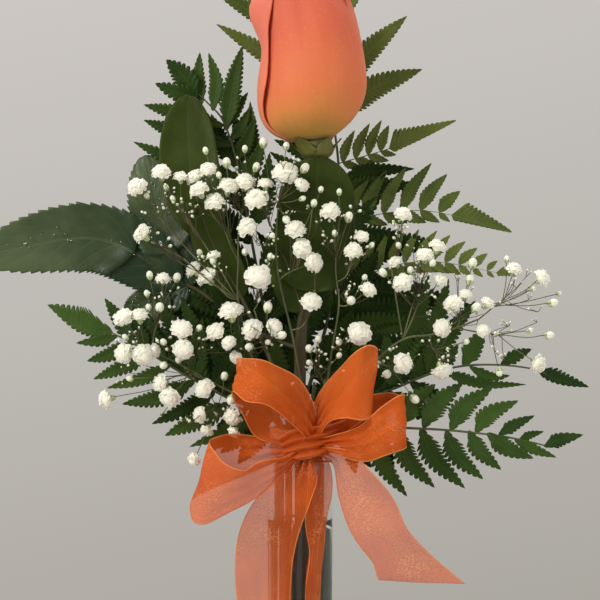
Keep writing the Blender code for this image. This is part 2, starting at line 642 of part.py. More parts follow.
def sepal(angle, frame, workshop):
    """One sepal: a pointed green blade that hugs the foot of the bloom."""
    rows = [(-4.2, 4.4, 0.62), (-1.0, 10.6, 0.52), (1.8, 16.4, 0.30), (5.4, 21.0, 0.02)]
    points = []
    for z, radius, half in rows:
        for column in (-1.0, 0.0, 1.0):
            turn = math.radians(angle) + half * column
            points.append(frame @ Vector((radius * math.sin(turn), -radius * math.cos(turn), z)))
    faces = []
    for row in range(len(rows) - 1):
        for column in range(2):
            a = row * 3 + column
            faces += [(a, a + 1, a + 4), (a, a + 4, a + 3)]
    return sheet(points, faces, BLADE, workshop)


def build_rose_stem(group, workshop):
    """The rose's stem with its hip and sepals, and its own toothed leaf."""
    frame = bloom_matrix()
    hip = [(0.0, 0.3), (4.4, 0.2), (5.4, -1.6), (5.2, -4.4), (3.6, -7.4), (2.2, -9.6), (0.0, -10.0)]
    pieces = [stem("rose", ROSE_STEM, workshop, 0.85, resolution=1)]
    pieces.append(turned_piece(hip, 10, frame, workshop))
    pieces += [sepal(angle, frame, workshop) for angle in SEPAL_ANGLES]
    count = 5
    petiole = [along(ROSE_PETIOLE, i / count) for i in range(count + 1)]
    pieces.append(tube(petiole, [1.2 - 0.05 * i for i in range(count + 1)], workshop))
    pieces += [broad_leaf(*row, workshop) for row in ROSE_LEAFLETS]
    fuse("rose_stem", pieces, material("rose green", GREEN_ROSE, 0.4), group)


# ---------------------------------------------------------------- baby's breath

def ring(frame, count, radius, height):
    """Points round a circle in a head's own frame."""
    spots = []
    for step in range(count):
        angle = math.tau * step / count
        spots.append(frame @ Vector((radius * math.cos(angle), radius * math.sin(angle), height)))
    return spots


def bridge(upper, lower):
    """Triangles between two rings of unlike counts, given as vertex numbers."""
    faces = []
    count = len(upper)
    for step in range(count):
        near = step * len(lower) // count
        onward = (step + 1) * len(lower) // count % len(lower)
        a, b = upper[step], upper[(step + 1) % count]
        faces.append((b, a, lower[near]))
        if onward != near:
            faces.append((b, lower[near], lower[onward]))
    return faces


def head(fork, centre, size, workshop):
    """A floret of five petals round a raised middle, on its three-sided stalk."""
    stalk = centre - fork
    turn = stalk.to_track_quat("Z", "Y").to_matrix().to_4x4()
    frame = Matrix.Translation(centre) @ turn
    radius = size / 2
    petals = ring(frame, 10, radius, 0.15 * radius)
    clefts = ring(frame, 10, 0.68 * radius, -0.1 * radius)
    rim = [petals[i] if i % 2 == 0 else clefts[i] for i in range(10)]
    top = frame @ Vector((0, 0, 0.45 * radius))
    neck = ring(frame, 3, STALK, -0.9 * radius)
    root = ring(frame, 3, STALK, -stalk.length)
    points = [top] + rim + neck + root
    count = len(rim)
    rims = list(range(1, count + 1))
    necks = list(range(count + 1, count + 4))
    roots = list(range(count + 4, count + 7))
    faces = [(0, rims[i], rims[(i + 1) % count]) for i in range(count)]
    faces += bridge(rims, necks) + bridge(necks, roots)
    faces.append(tuple(reversed(roots)))
    return link(mesh_object("head", points, faces), workshop)


def build_sprays(group, workshop):
    """Each spray: a thin stem, side branches with a fork, and a stalk to every floret."""
    surface = material("baby's breath", GREEN_SPRAY, 0.6)
    for name, (above, branches) in SPRAYS.items():
        pieces = [stem(name, above, workshop, 0.7, resolution=0)]
        for start, fork, heads in branches:
            leave, fork = Vector(above[start]), Vector(fork)
            pieces.append(tube([leave, fork], [0.65, 0.65], workshop))
            for number, (x, y, z, size) in enumerate(heads):
                off = fork.lerp(leave, 0.08 * number)
                pieces.append(head(off, Vector((x, y, z)), size, workshop))
        fuse(name, pieces, surface, group)


# ---------------------------------------------------------------- ribbon

def ribbon_run(edge_a, edge_b, workshop):
    """One run of ribbon between its two edges."""
    rows = 9
    points = []
    for row in range(rows + 1):
        points += [along(edge_a, row / rows), along(edge_b, row / rows)]
    faces = []
    for row in range(rows):
        a = 2 * row
        faces += [(a, a + 1, a + 3), (a, a + 3, a + 2)]
    return sheet(points, faces, RIBBON, workshop)


def build_bow(group, workshop):
    """The bow's four loops and three tails, gathered at the middle."""
    middle = bpy.data.meshes.new("gather")
    work = bmesh.new()
    place = Matrix.Translation(Vector(BOW_CENTRE) * MM) @ Matrix.Diagonal((*BOW_CENTRE_SIZE, 1.0))
    bmesh.ops.create_icosphere(work, subdivisions=1, radius=MM, matrix=place)
    work.to_mesh(middle)
    work.free()
    pieces = [link(bpy.data.objects.new("gather", middle), workshop)]
    pieces += [ribbon_run(a, b, workshop) for a, b in BOW_RUNS.values()]
    fuse("bow", pieces, material("sheer orange", ORANGE, 0.45, 0.7), group)


def build_band(group):
    """The band of ribbon round the stems that carries the bow."""
    middle = 0.5 * (BAND_OUTER + BAND_INNER)
    profile = [(BAND_INNER, BAND_BOTTOM), (BAND_INNER, BAND_TOP), (middle, BAND_TOP + 0.6),
               (BAND_OUTER, BAND_TOP), (BAND_OUTER + 0.4, 0.5 * (BAND_TOP + BAND_BOTTOM)),
               (BAND_OUTER, BAND_BOTTOM)]
    band = turned("bow_band", profile, 16, group, ring=True)
    band.data.materials.append(material("band orange", ORANGE, 0.5))


# ---------------------------------------------------------------- vase and water

def bore_at(z):
    """Inner radius of the vase at a height."""
    inside = [(VASE_FLOOR, 20.0), (VASE_FLOOR + 4, 25.0), (36, 25.6), (62, 19.6), (92, 14.0),
              (NECK_BOTTOM, NECK_BORE), (VASE_HEIGHT, NECK_BORE)]
    return interpolate(inside, z)


def build_vase(group):
    """The clear vase: a turned wall, thick at the foot, with a rounded rim."""
    outside = [(NECK_RADIUS - 0.5, VASE_HEIGHT), (NECK_RADIUS, VASE_HEIGHT - 0.6),
               (NECK_RADIUS, NECK_BOTTOM), (16.6, 92), (22.4, 62), (28.8, 36), (FOOT_RADIUS, 12),
               (FOOT_RADIUS, 3), (FOOT_RADIUS - 2.0, 0.0), (0.0, 0.0)]
    inside = [(0.0, VASE_FLOOR)]
    for z in (VASE_FLOOR, VASE_FLOOR + 4, 36, 62, 92, NECK_BOTTOM, VASE_HEIGHT - 0.6):
        inside.append((bore_at(z), z))
    inside.append((NECK_BORE + 0.5, VASE_HEIGHT))
    vase = turned("bud_vase", inside + outside, VASE_SIDES, group)
    vase.data.materials.append(material("clear glass", (0.86, 0.90, 0.89), 0.05, 0.3))


def build_water(group, cutters):
    """The water, with a plain hole round every stem."""
    profile = [(0.0, WATER_LEVEL)]
    for z in (WATER_LEVEL, NECK_BOTTOM, 92, 62, 36, VASE_FLOOR + 4, VASE_FLOOR + FIT_GAP):
        profile.append((bore_at(z) - FIT_GAP, z))
    profile.append((0.0, VASE_FLOOR + FIT_GAP))
    water = turned("water", profile, VASE_SIDES, group)
    water.data.materials.append(material("water", (0.80, 0.88, 0.86), 0.05, 0.3))
    for name, (x, y, radius) in STEMS.items():
        corners = 1 if radius > THIN_STEM else 0
        hole = tube([(x, y, 0.0), (x, y, WATER_LEVEL + 10)], [radius + FIT_GAP] * 2, cutters, corners)
        hole.name = "hole_" + name
        hole.display_type = "WIRE"
        hole.hide_render = True
    cut = water.modifiers.new("stem holes", "BOOLEAN")
    cut.operation = "DIFFERENCE"
    cut.operand_type = "COLLECTION"
    cut.collection = cutters


def new_collection(name):
    """A collection in the scene."""
    group = bpy.data.collections.new(name)
    bpy.context.scene.collection.children.link(group)
    return group


def main():
    """Build every piece where it stands."""
    clear_scene()
    group = new_collection(OBJECT_NAME)
    cutters = new_collection("cutters")
    workshop = new_collection("workshop")
    build_vase(group)
    build_water(group, cutters)
    build_band(group)
    build_bow(group, workshop)
    build_bloom(group, workshop)
    build_rose_stem(group, workshop)
    build_lemon_leaves(group, workshop)
    build_fronds(group, workshop)
    build_sprays(group, workshop)
    bpy.data.collections.remove(workshop)


main()
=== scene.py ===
"""Finish of the rose in a bud vase: petals, leaves, fern, baby's breath, organza bow, glass and water.

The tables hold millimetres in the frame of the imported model, and each fine piece follows the solid
that it replaces.
"""

import math
import random

import bmesh
import bpy
from mathutils import Matrix, Vector, noise


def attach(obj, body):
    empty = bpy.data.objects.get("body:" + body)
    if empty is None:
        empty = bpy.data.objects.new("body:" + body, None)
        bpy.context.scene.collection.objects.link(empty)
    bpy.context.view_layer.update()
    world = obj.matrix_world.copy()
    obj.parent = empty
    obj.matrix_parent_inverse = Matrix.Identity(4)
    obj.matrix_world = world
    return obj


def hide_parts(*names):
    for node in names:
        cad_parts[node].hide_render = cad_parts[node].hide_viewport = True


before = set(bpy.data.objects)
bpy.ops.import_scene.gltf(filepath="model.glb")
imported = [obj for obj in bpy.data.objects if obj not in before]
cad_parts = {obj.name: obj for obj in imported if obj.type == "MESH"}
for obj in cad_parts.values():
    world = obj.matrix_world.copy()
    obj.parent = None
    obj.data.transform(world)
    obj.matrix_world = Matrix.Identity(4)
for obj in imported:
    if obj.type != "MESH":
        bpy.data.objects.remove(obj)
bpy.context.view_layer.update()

MM = 0.001
FRONT = Vector((0.0, -1.0, 0.0))
SEED = 7

# Camera: level with the middle of the view, square to the arrangement's face.
CAMERA_DISTANCE = 620.0
CAMERA_HEIGHT = 274.25
CAMERA_LENS = 82.67

# Thickness of the thin pieces.
LEAF_THICK = 0.35
PETAL_THICK = 0.5
FLORET_THICK = 0.12
ORGANZA_THICK = 0.16
BAND_THICK = 0.3

# Where each stem stands in the neck (x, y) and its radius.
STEMS = {
    "rose": (0.0, 0.0, 2.4),
    "fern_back": (1.5, 7.5, 1.2),
    "fern_upper_left": (-5.0, 5.2, 1.1),
    "fern_lower_left": (-8.6, 0.6, 1.1),
    "fern_right": (6.5, 4.2, 1.1),
    "fern_lower_right": (8.6, -1.2, 1.1),
    "lemon_leaf_left": (-5.2, -3.4, 1.3),
    "lemon_leaf_centre": (-0.8, -6.2, 1.3),
    "babys_breath_left": (-7.6, -6.9, 0.8),
    "babys_breath_lower_left": (-10.3, -3.4, 0.8),
    "babys_breath_centre_left": (-4.2, -9.4, 0.8),
    "babys_breath_centre": (3.0, -8.6, 0.8),
    "babys_breath_right_centre": (6.4, -6.4, 0.8),
    "babys_breath_right": (9.4, -5.2, 0.8),
}
# Every stem stands straight from its foot to the top of the bundle, above the rim.
STEM_FOOT = 9.3
BUNDLE_TOP = 217.0

# Thin stems beside those, in the free room of the neck: how many, how thick, how far from its axis,
# how high, and how often a place is tried.
SPARE_STEMS = 14
SPARE_RADIUS = 0.65
SPARE_ROOM = 11.2
SPARE_TOP = 236.0
SPARE_TRIES = 4000

# Each frond: its rachis above the neck, its pinnae, and the low ones behind, painted darker as shade. A
# pinna is (root, middle, tip, reach on the left, reach on the right, cut). The cut is how deep its lobes
# are. A pinna with one more number is cut into that many leaflets a side, over the share of it that is its
# cut.
FRONDS = {
    "fern_back": (
        [(3, 9.5, 230), (9, 14, 251), (15.8, 19, 279), (18.6, 22, 311), (17.8, 24, 340),
         (14, 25, 368), (10.3, 25, 394), (5.6, 23, 414)],
        [((18.6, 22, 311), (57, 15, 315.5), (96, 6, 305), 20.5, 6, 0.66, 6),
         ((16, 19, 281), (55, 13, 292), (96, 7, 285.5), 14.5, 6, 0.92, 12),
         ((17.8, 24, 338), (44, 20, 345.5), (72, 16, 357), 14.5, 5, 0.45, 4),
         ((15, 24.6, 360), (34, 24, 373), (57, 23, 382), 6.2, 6.0, 0.3),
         ((14, 25, 370), (30, 25, 388), (50, 24, 407), 6.5, 5.5, 0.3),
         ((10.3, 25, 393), (20, 25, 409), (30, 25, 420), 5, 4, 0.3),
         ((13.6, 25, 374), (-11, 25, 386), (-39, 23, 403), 5.0, 6.0, 0.3),
         ((10.3, 25, 394), (-15, 25, 405), (-41, 23, 419), 5.0, 6.5, 0.3)],
        [((12, 16.5, 262), (34, 14, 268), (62, 10, 270), 8, 8, 0.7),
         ((9, 14, 251), (30, 12, 252), (58, 8, 256), 8, 8, 0.7),
         ((5.5, 11.5, 240), (24, 10.5, 238), (46, 8, 238), 7, 7, 0.7),
         ((14, 18, 270), (34, 16, 277), (60, 13, 281), 7, 7, 0.7),
         ((7, 12.8, 246), (20, 12, 247), (38, 10, 248), 7, 7, 0.7),
         ((13, 17.5, 266), (26, 16, 280), (36, 14, 297), 7, 7, 0.7),
         ((15.8, 19, 279), (2, 18, 288), (-16, 15, 302), 7, 7, 0.7),
         ((12, 16.5, 262), (-6, 15, 266), (-30, 12, 272), 8, 8, 0.7),
         ((8, 13, 248), (-10, 12, 250), (-34, 10, 254), 7, 7, 0.7),
         ((18.6, 22, 311), (4, 20, 322), (-12, 17, 334), 6, 6, 0.7),
         ((17.5, 21, 296), (34, 19, 297), (52, 16, 297), 7, 6, 0.7),
         ((18.2, 23, 326), (34, 21, 327), (54, 18, 328), 5, 6, 0.5),
         ((18.4, 23, 330), (34, 21, 334), (53, 18, 335), 4, 3.5, 0.3),
         ((18.4, 22.6, 318), (8, 20, 330), (-4, 18, 339), 5, 5, 0.5),
         ((16.8, 20.5, 286), (40, 17, 299), (64, 12, 300), 7, 7, 0.6),
         ((16, 20, 282), (46, 14, 277), (80, 10, 271), 7, 7, 0.6),
         ((18.2, 22, 304), (40, 18, 303), (66, 14, 296), 5, 6, 0.6),
         ((10, 15, 255), (34, 13, 262), (60, 10, 262), 7, 7, 0.6),
         ((6.5, 12.4, 244), (26, 12, 232), (48, 11, 224), 7, 7, 0.6),
         ((5, 11, 238), (16, 12, 252), (24, 12, 270), 7, 7, 0.6),
         ((4, 10.5, 235), (14, 12, 228), (26, 13, 218), 7, 7, 0.6),
         ((4, 10.5, 235), (-6, 12, 228), (-20, 13, 220), 7, 7, 0.6),
         ((13, 17, 265), (8, 17, 282), (6, 17, 300), 7, 7, 0.6),
         ((18.4, 23, 326), (6, 23, 340), (-12, 22, 349), 5, 5, 0.5),
         ((18.2, 22, 312), (4, 21, 330), (-14, 19, 343), 5, 5, 0.5),
         ((13, 17, 265), (-5, 16, 286), (-20, 15, 306), 6, 6, 0.6),
         ((15.8, 19, 279), (0, 18, 300), (-10, 16, 318), 6, 6, 0.6),
         ((18.2, 22, 304), (27, 20, 312), (38, 19, 323), 5, 5, 0.5)],
    ),
    "fern_upper_left": (
        [(-7.4, 7.4, 230), (-14.6, 10, 260), (-20.6, 11, 293), (-26, 12, 322), (-29, 12, 338),
         (-35, 12, 356), (-41.7, 12, 364), (-47.6, 11, 369.5)],
        [((-47, 11, 366), (-53, 10, 376), (-61, 9, 384), 5.4, 5.4, 0.5),
         ((-46, 11.4, 367), (-56, 9, 369), (-66, 8, 373), 4.2, 4.2, 0.6),
         ((-45, 12, 364), (-46.5, 13, 376), (-46, 13, 388), 3.2, 3.0, 0.3),
         ((-40, 12, 361), (-38.5, 14, 374), (-42, 14, 388), 3.4, 3.4, 0.3),
         ((-34, 12, 352), (-31, 13, 372), (-26.5, 13, 391), 4.6, 4.6, 0.5),
         ((-28, 12, 334), (-36, 14.5, 347), (-41, 15, 360), 4.4, 4.4, 0.4),
         ((-28, 12, 333), (-27, 14.5, 347), (-31, 15, 360), 4.2, 4.2, 0.4),
         ((-25, 12, 318), (-22, 15, 343), (-23, 16, 366), 4.4, 4.2, 0.5),
         ((-35, 12, 354), (-54, 8, 359), (-71, 6, 363), 4.6, 4.2, 0.5),
         ((-31, 12, 345), (-54, 8, 350), (-71, 6, 356), 4.6, 4.6, 0.5),
         ((-28, 12, 331), (-52, 8, 336), (-75.5, 5, 346), 5.0, 4.8, 0.5)],
        [((-16, 10.2, 268), (-34, 8, 272), (-58, 5.5, 276), 8, 8, 0.7),
         ((-13, 9.4, 252), (-30, 7, 254), (-52, 4.5, 252), 7, 7, 0.7),
         ((-20, 11, 290), (-38, 9, 298), (-58, 7, 306), 7, 7, 0.7),
         ((-12, 9.2, 248), (-26, 7, 262), (-42, 5, 282), 8, 8, 0.7),
         ((-9, 8.2, 238), (-24, 6, 246), (-44, 4, 258), 7, 7, 0.7),
         ((-22, 11.2, 300), (-36, 10, 312), (-52, 8, 324), 6, 6, 0.6),
         ((-19, 10.8, 286), (-10, 12, 300), (-6, 13, 322), 6, 6, 0.6),
         ((-23, 11.4, 306), (-16, 13, 322), (-14, 14, 342), 5, 5, 0.6),
         ((-24, 11.6, 312), (-30, 13, 324), (-38, 14, 334), 5, 5, 0.6),
         ((-15, 10, 264), (-4, 12, 280), (-2, 13, 300), 6, 6, 0.6),
         ((-17, 10.4, 274), (-2, 12, 288), (10, 13, 304), 6, 6, 0.6),
         ((-11, 9, 246), (2, 11, 262), (14, 12, 280), 7, 7, 0.7),
         ((-9, 8, 236), (0, 10, 250), (4, 11, 268), 6, 6, 0.7),
         ((-29, 12, 338), (-24.5, 13, 347), (-20.5, 14, 358), 3.6, 3.6, 0.4),
         ((-27.5, 12, 329), (-21, 13, 337), (-17, 14, 348), 4.0, 4.0, 0.4),
         ((-26, 12, 320), (-17, 13, 327), (-10, 14, 337), 4.5, 4.5, 0.5),
         ((-32, 12, 347), (-27, 14, 354), (-23, 15, 363), 3.0, 3.0, 0.3),
         ((-34, 12, 353), (-29, 14, 362), (-24, 15, 370), 2.6, 2.6, 0.3),
         ((-8, 8, 234), (-3, 9, 246), (2, 10, 262), 6, 6, 0.6),
         ((-8, 7.6, 232), (-15, 8, 246), (-24, 8, 264), 7, 7, 0.6),
         ((-18, 10.6, 280), (-30, 9, 288), (-46, 7, 298), 7, 7, 0.6),
         ((-16, 10.2, 268), (-40, 8, 280), (-66, 6, 288), 8, 8, 0.6),
         ((-13, 9.4, 252), (-36, 8, 264), (-62, 6, 270), 7, 7, 0.6),
         ((-10, 8.6, 240), (-32, 8, 252), (-50, 6, 268), 7, 7, 0.6),
         ((-14, 9.8, 258), (-26, 8, 270), (-36, 7, 290), 7, 7, 0.6)],
    ),
    "fern_right": (
        [(8, 4.8, 221), (15, 6.4, 225.5), (27, 8, 229), (43, 8, 234), (59, 7, 240.6),
         (74, 6, 244.3), (91, 5, 244.8), (106, 3, 243), (111, 2, 241)],
        [((42, 8, 234), (41, 9, 246), (39, 10, 259), 5, 5, 0.3),
         ((54, 8, 239), (58, 9, 249), (65, 9, 261), 7, 7.5, 0.3),
         ((64, 7, 242), (68, 7, 248), (72, 7, 254), 3, 3, 0.4),
         ((74, 6, 244), (79, 7, 252), (85, 8, 262), 5, 4, 0.3),
         ((91, 5, 245), (98, 5, 249), (105, 5, 252), 3, 3, 0.5),
         ((64, 7, 242), (82, 5, 236), (102, 2, 236), 3, 2, 0.5),
         ((77, 6, 244), (86, 5, 240), (95, 4, 240), 2, 3, 0.5),
         ((106, 3, 243), (117, 1, 238), (130, 0, 235), 4.5, 2, 0.6)],
        [((30, 8, 230), (29, 9, 246), (24, 10, 262), 5, 5, 0.6),
         ((46, 8, 235.5), (60, 9, 258), (68, 10, 284), 6, 6, 0.6),
         ((50, 7.6, 237), (66, 8, 256), (80, 9, 274), 5, 5, 0.6),
         ((38, 8, 232.6), (52, 9, 258), (59, 10, 286), 5.5, 5.5, 0.6),
         ((34, 8, 231.5), (46, 9, 246), (50, 10, 264), 6, 6, 0.6),
         ((16, 6.5, 226), (20, 8, 240), (18, 9, 256), 5, 5, 0.6),
         ((46, 8, 235.5), (52, 9, 250), (58, 10, 268), 5, 5, 0.6),
         ((22, 7.4, 228), (36, 9, 238), (46, 10, 252), 5, 5, 0.6),
         ((50, 7.6, 237), (58, 6, 232), (70, 4, 229), 4, 4, 0.5),
         ((10, 5, 222.4), (13, 8, 234), (15, 10, 248), 6, 6, 0.6),
         ((9, 5, 221.6), (24, 8, 222), (42, 10, 222), 6, 6, 0.6),
         ((38, 8, 232.6), (48, 7, 226), (60, 6, 220), 5, 5, 0.6),
         ((26, 7.8, 228.8), (34, 7, 220), (44, 6, 210), 5, 5, 0.6),
         ((58, 7, 240.2), (62, 8, 252), (70, 9, 266), 4.4, 4.4, 0.5)],
    ),
    "fern_lower_right": (
        [(10.4, -2.6, 220), (16, -7, 221.5), (24, -11, 220.5), (34, -13.5, 218.5), (46, -14, 218),
         (66, -15, 217), (88, -16, 214.6), (101, -16, 212), (108, -16, 210.3)],
        [((43, -14, 218), (49, -12, 228), (60, -10, 237), 5.4, 5.2, 0.7),
         ((54, -14, 218), (60, -13, 228), (72, -12, 238), 5.2, 5.2, 0.7),
         ((66, -15, 217), (72, -14, 227), (85, -13, 236), 4.8, 4.8, 0.6),
         ((77, -15, 216), (83, -15, 224), (96, -14, 230), 4.2, 4.2, 0.5),
         ((87, -16, 215), (94, -15, 219.5), (103, -15, 223.5), 2.6, 2.8, 0.3),
         ((96, -16, 213), (101, -15, 215), (107, -15, 216.5), 1.8, 1.8, 0.3),
         ((107, -16, 210), (114, -15, 213), (124.5, -14, 215), 3.0, 3.2, 0.3),
         ((32, -13, 217), (36, -14, 203), (47, -15, 188), 4.6, 4.8, 0.8),
         ((43, -14, 218), (47, -15, 205), (59, -16, 192), 4.8, 5.0, 0.8),
         ((53, -14, 218), (59, -16, 205), (72, -18, 192), 4.8, 5.0, 0.8),
         ((64, -15, 217), (69, -16, 206), (80, -18, 196), 4.4, 4.6, 0.8),
         ((74, -15, 217), (79, -16, 208), (88, -17, 200), 3.8, 4, 0.6),
         ((82, -16, 216), (90, -17, 209.5), (102, -18, 205), 4.2, 3.6, 0.3),
         ((94, -16, 213), (102, -17, 209), (112, -18, 205.5), 2.6, 2.4, 0.3)],
        [((16, -7, 221.5), (23, -3, 211), (32, -2, 199), 5, 5, 0.5),
         ((22, -10, 220.8), (30, -6, 212), (42, -5, 204), 5, 5, 0.5),
         ((28, -12, 219.6), (36, -10, 209), (41, -9, 196), 5, 5, 0.5),
         ((18, -8, 221.3), (22, -3, 209), (25, -1, 196), 4.5, 4.5, 0.5)],
    ),
    "fern_lower_left": (
        [(-9.8, 0.3, 220), (-19, -1.3, 225), (-33.6, -2.5, 231), (-53.7, -3, 242), (-71.8, -2, 253),
         (-85.4, -1, 260)],
        [((-84, -1, 259.5), (-98, 0, 262), (-114, 2, 272), 3, 9, 0.7),
         ((-74, -2, 254), (-81, 0, 265), (-88, 1, 275), 3.6, 3.6, 0.5),
         ((-82, -1, 258), (-90, -3, 256), (-100, -4, 255), 2.8, 2.8, 0.4),
         ((-75, -2, 255), (-85, -4, 250), (-95, -5, 247), 3.4, 3.4, 0.4),
         ((-67, -2, 250), (-80, -4, 244), (-92, -6, 239), 3.6, 3.6, 0.6),
         ((-58, -3, 245), (-71, -5, 239), (-86, -7, 235), 3.2, 3.2, 0.6),
         ((-47, -3, 238), (-62, -5, 231), (-79, -8, 228), 4.5, 4.5, 0.6),
         ((-31, -2.5, 228), (-45, -5, 221), (-60, -8, 214), 5, 5, 0.7),
         ((-24, -2, 224), (-33, -5, 216), (-49, -8, 209), 3.6, 3.6, 0.7),
         ((-60, -3, 246), (-65, -1, 256), (-68, 0, 265), 3.6, 3.6, 0.5),
         ((-42, -3, 235), (-47, -1, 247), (-50, 1, 258), 4, 4, 0.6)],
        [((-14, -0.6, 222.5), (-20, 1, 212), (-28, 3, 200), 5.5, 5.5, 0.5),
         ((-18, -1, 224), (-26, 1, 214), (-36, 2, 205), 5, 5, 0.5),
         ((-20, -1.4, 225.5), (-30, -1, 240), (-44, 0, 256), 5.5, 5.5, 0.7),
         ((-34, -2.5, 231), (-44, 2, 252), (-54, 4, 276), 6, 6, 0.6),
         ((-40, -3, 234.5), (-52, 1, 254), (-66, 3, 276), 6, 6, 0.6),
         ((-50, -3, 240), (-62, 0, 256), (-76, 1, 272), 5, 5, 0.6),
         ((-26, -2, 228), (-36, 2, 246), (-42, 4, 266), 6, 6, 0.6),
         ((-14, -0.6, 222.5), (-20, 1, 240), (-28, 3, 258), 5, 5, 0.7),
         ((-34, -2.5, 231), (-38, 0, 246), (-46, 2, 262), 5, 5, 0.7),
         ((-26, -2, 228), (-24, 0, 246), (-30, 2, 268), 6, 6, 0.7),
         ((-18, -1, 224), (-10, 1, 240), (-12, 3, 258), 6, 6, 0.7),
         ((-40, -3, 234.5), (-32, -1, 246), (-24, 1, 262), 5, 5, 0.7),
         ((-30, -2.4, 229), (-20, 0, 236), (-8, 2, 246), 6, 6, 0.7),
         ((-50, -3, 240), (-52, -1, 252), (-58, 1, 268), 4.4, 4.4, 0.6),
         ((-22, -2, 226), (-30, -4, 216), (-42, -6, 206), 4.4, 4.4, 0.6),
         ((-38, -3, 233), (-50, -4, 226), (-66, -6, 219), 4.2, 4.2, 0.6),
         ((-68, -2.4, 251), (-72, -1, 260), (-78, 0, 270), 3.2, 3.2, 0.5),
         ((-12, 0, 221.4), (-16, 3, 232), (-18, 5, 248), 6, 6, 0.6),
         ((-11, 0, 220.8), (-24, 3, 221), (-38, 5, 217), 6, 6, 0.6),
         ((-33, -2.5, 230.7), (-34, 0, 242), (-36, 2, 256), 5, 5, 0.6),
         ((-46, -2.8, 237.8), (-46, -1, 250), (-44, 1, 266), 5, 5, 0.6),
         ((-60, -2.6, 246), (-66, -1, 258), (-70, 1, 270), 4, 4, 0.5)],
    ),
}
# Lobes: rows of points in one, veins by which a blade is marked, their pitch on a pinna and on a leaflet,
# how far they lean, the fewest on a pinna, how much wider than its reach that is, and how deep they are.
ROWS_PER_LOBE = 5
LOBE_VEINS = 9.0
LOBE_PITCH = 2.4
LEAFLET_LOBE_PITCH = 1.9
LOBE_LEAN = 0.75
FEWEST_LOBES = 6
LANCE_SPREAD = 1.16
LEAST_LOBE_DEPTH = 0.16
LOBE_DEPTH_BY_CUT = 0.28
# Reach of a long pinna's leaflets by their place in its cut share; one cut nearly to the tip falls off
# evenly, as in the second table.
CUT_REACH = [(0, 0.80), (0.25, 0.97), (0.58, 1.0), (0.76, 0.80)]
EVEN_REACH = [(0, 0.65), (0.2, 1.0), (0.5, 0.90), (0.7, 0.66), (0.85, 0.42), (1, 0.05)]
EVEN_CUT = 0.8

# Broad leaves, after their stem: (root, middle, tip, half width, fullness, cup).
LEMON_LEAVES = {
    "lemon_leaf_left": (
        [(-5.6, -3.8, 223), (-9.8, -5, 238), (-17.9, -5, 258.6), (-26.8, -4, 276.5),
         (-36, -1, 297), (-42, -1, 309)],
        [((-41, -1, 303), (-49.5, 0.5, 333), (-51.0, 3, 367), 13.4, 2.8, 1.6),
         ((-26, -4, 275), (-38, -4.5, 297), (-46, -6.5, 318), 8.6, 2.4, 1.2)],
    ),
    "lemon_leaf_centre": (
        [(-1.2, -7, 228), (-1.6, -8.4, 252), (0, -10, 266), (2.6, -12, 273), (7, -14, 279)],
        [((6.4, -13.7, 277.5), (7, -15.5, 309), (8, -18.8, 337), 17.2, 3.6, 1.4),
         ((1.2, -10.8, 269), (-4, -12.2, 285), (-7, -13.4, 300), 9.0, 2.4, 1.0)],
    ),
}

ROSE_STEM = [(0.2, -0.1, 226), (0.9, -0.5, 252), (2.7, -2, 288), (5, -6.4, 315), (7.6, -12, 338)]
ROSE_PETIOLE = [(1.2, -0.5, 252), (-14, 5, 257), (-32, 6, 268), (-45, 6, 278), (-56, 5.4, 283)]
PETIOLE_RADIUS = 1.1
# Leaflets of the rose's leaf, as the broad leaves above; then their teeth, the water drops on each, and
# the shares of its length where those gather.
ROSE_LEAFLETS = [
    ((-54, 5.4, 282), (-92, 3, 302), (-144, -8, 294), 16.5, 2.6, 2.6),
    ((-49, 5.8, 281), (-62, 6, 308), (-71, 7, 340), 14.5, 2.6, 1.6),
    ((-51, 5.6, 280.5), (-65, 6.5, 274), (-80, 7, 268), 9.0, 2.6, 1.6),
]
LEAF_TEETH = 26
DROPS = 34
DROP_SHARES = (0.33, 0.62, 0.78)

# Bloom: its base and top, and the half widths of its outline to the left and to the right, up its axis.
BLOOM_BASE = (7.1, -12.0, 343.5)
BLOOM_TOP = (0.9, -12.0, 417.5)
BLOOM_LEFT = [(0, 6.0), (2.7, 15.0), (5.8, 19.8), (10.2, 22.8), (14.6, 24.2), (21.2, 24.5), (30, 23.2),
              (36.7, 21.4), (43, 20.2), (52, 19.6), (60, 19.0), (74, 16.5)]
BLOOM_RIGHT = [(0, 4.0), (2.2, 7.5), (5.8, 13.8), (11.1, 19.6), (16.8, 23.2), (23.4, 25.2), (30, 25.3),
               (41, 24.6), (52, 22.6), (57.8, 20.8), (63, 18.8), (74, 16.0)]
# Outer petals in the bloom's own frame: how far out, how high, the angles of their two edges by the
# share up the petal, how far the rim flares, how far it rolls, and their tone. A tone under 0.9 paints a
# petal deeper red as painted shade.
OUTER_PETALS = [
    (0.970, 67.0, [(0, -96), (0.5, -94), (1, -90)], [(0, 112), (0.62, 106), (0.84, 90), (1, 72)],
     0.2, 0.3, 0.95),
    (0.990, 68.5, [(0, -160), (1, -165)],
     [(0, -76), (0.2, -69), (0.28, -62), (0.36, -56), (0.43, -53), (0.53, -57), (0.68, -60), (0.85, -52),
      (1, -44)],
     5.4, 0.7, 1.3),
    (0.925, 66.0, [(0, 84), (0.6, 78), (1, 56)], [(0, 168), (1, 172)], 1.4, 0.5, 0.85),
    (0.950, 64.0, [(0, 150), (1, 146)], [(0, 246), (1, 250)], 0.8, 0.9, 0.7),
    (0.860, 66.0, [(0, -150), (1, -150)], [(0, -40), (1, -36)], 0.3, 0.4, 0.6),
]
# Places in that list: the broad petal in front, and the one on the left that flares away from it.
FRONT_PETAL = 0
LEFT_PETAL = 1
PETAL_ROWS = 36
PETAL_COLUMNS = 32
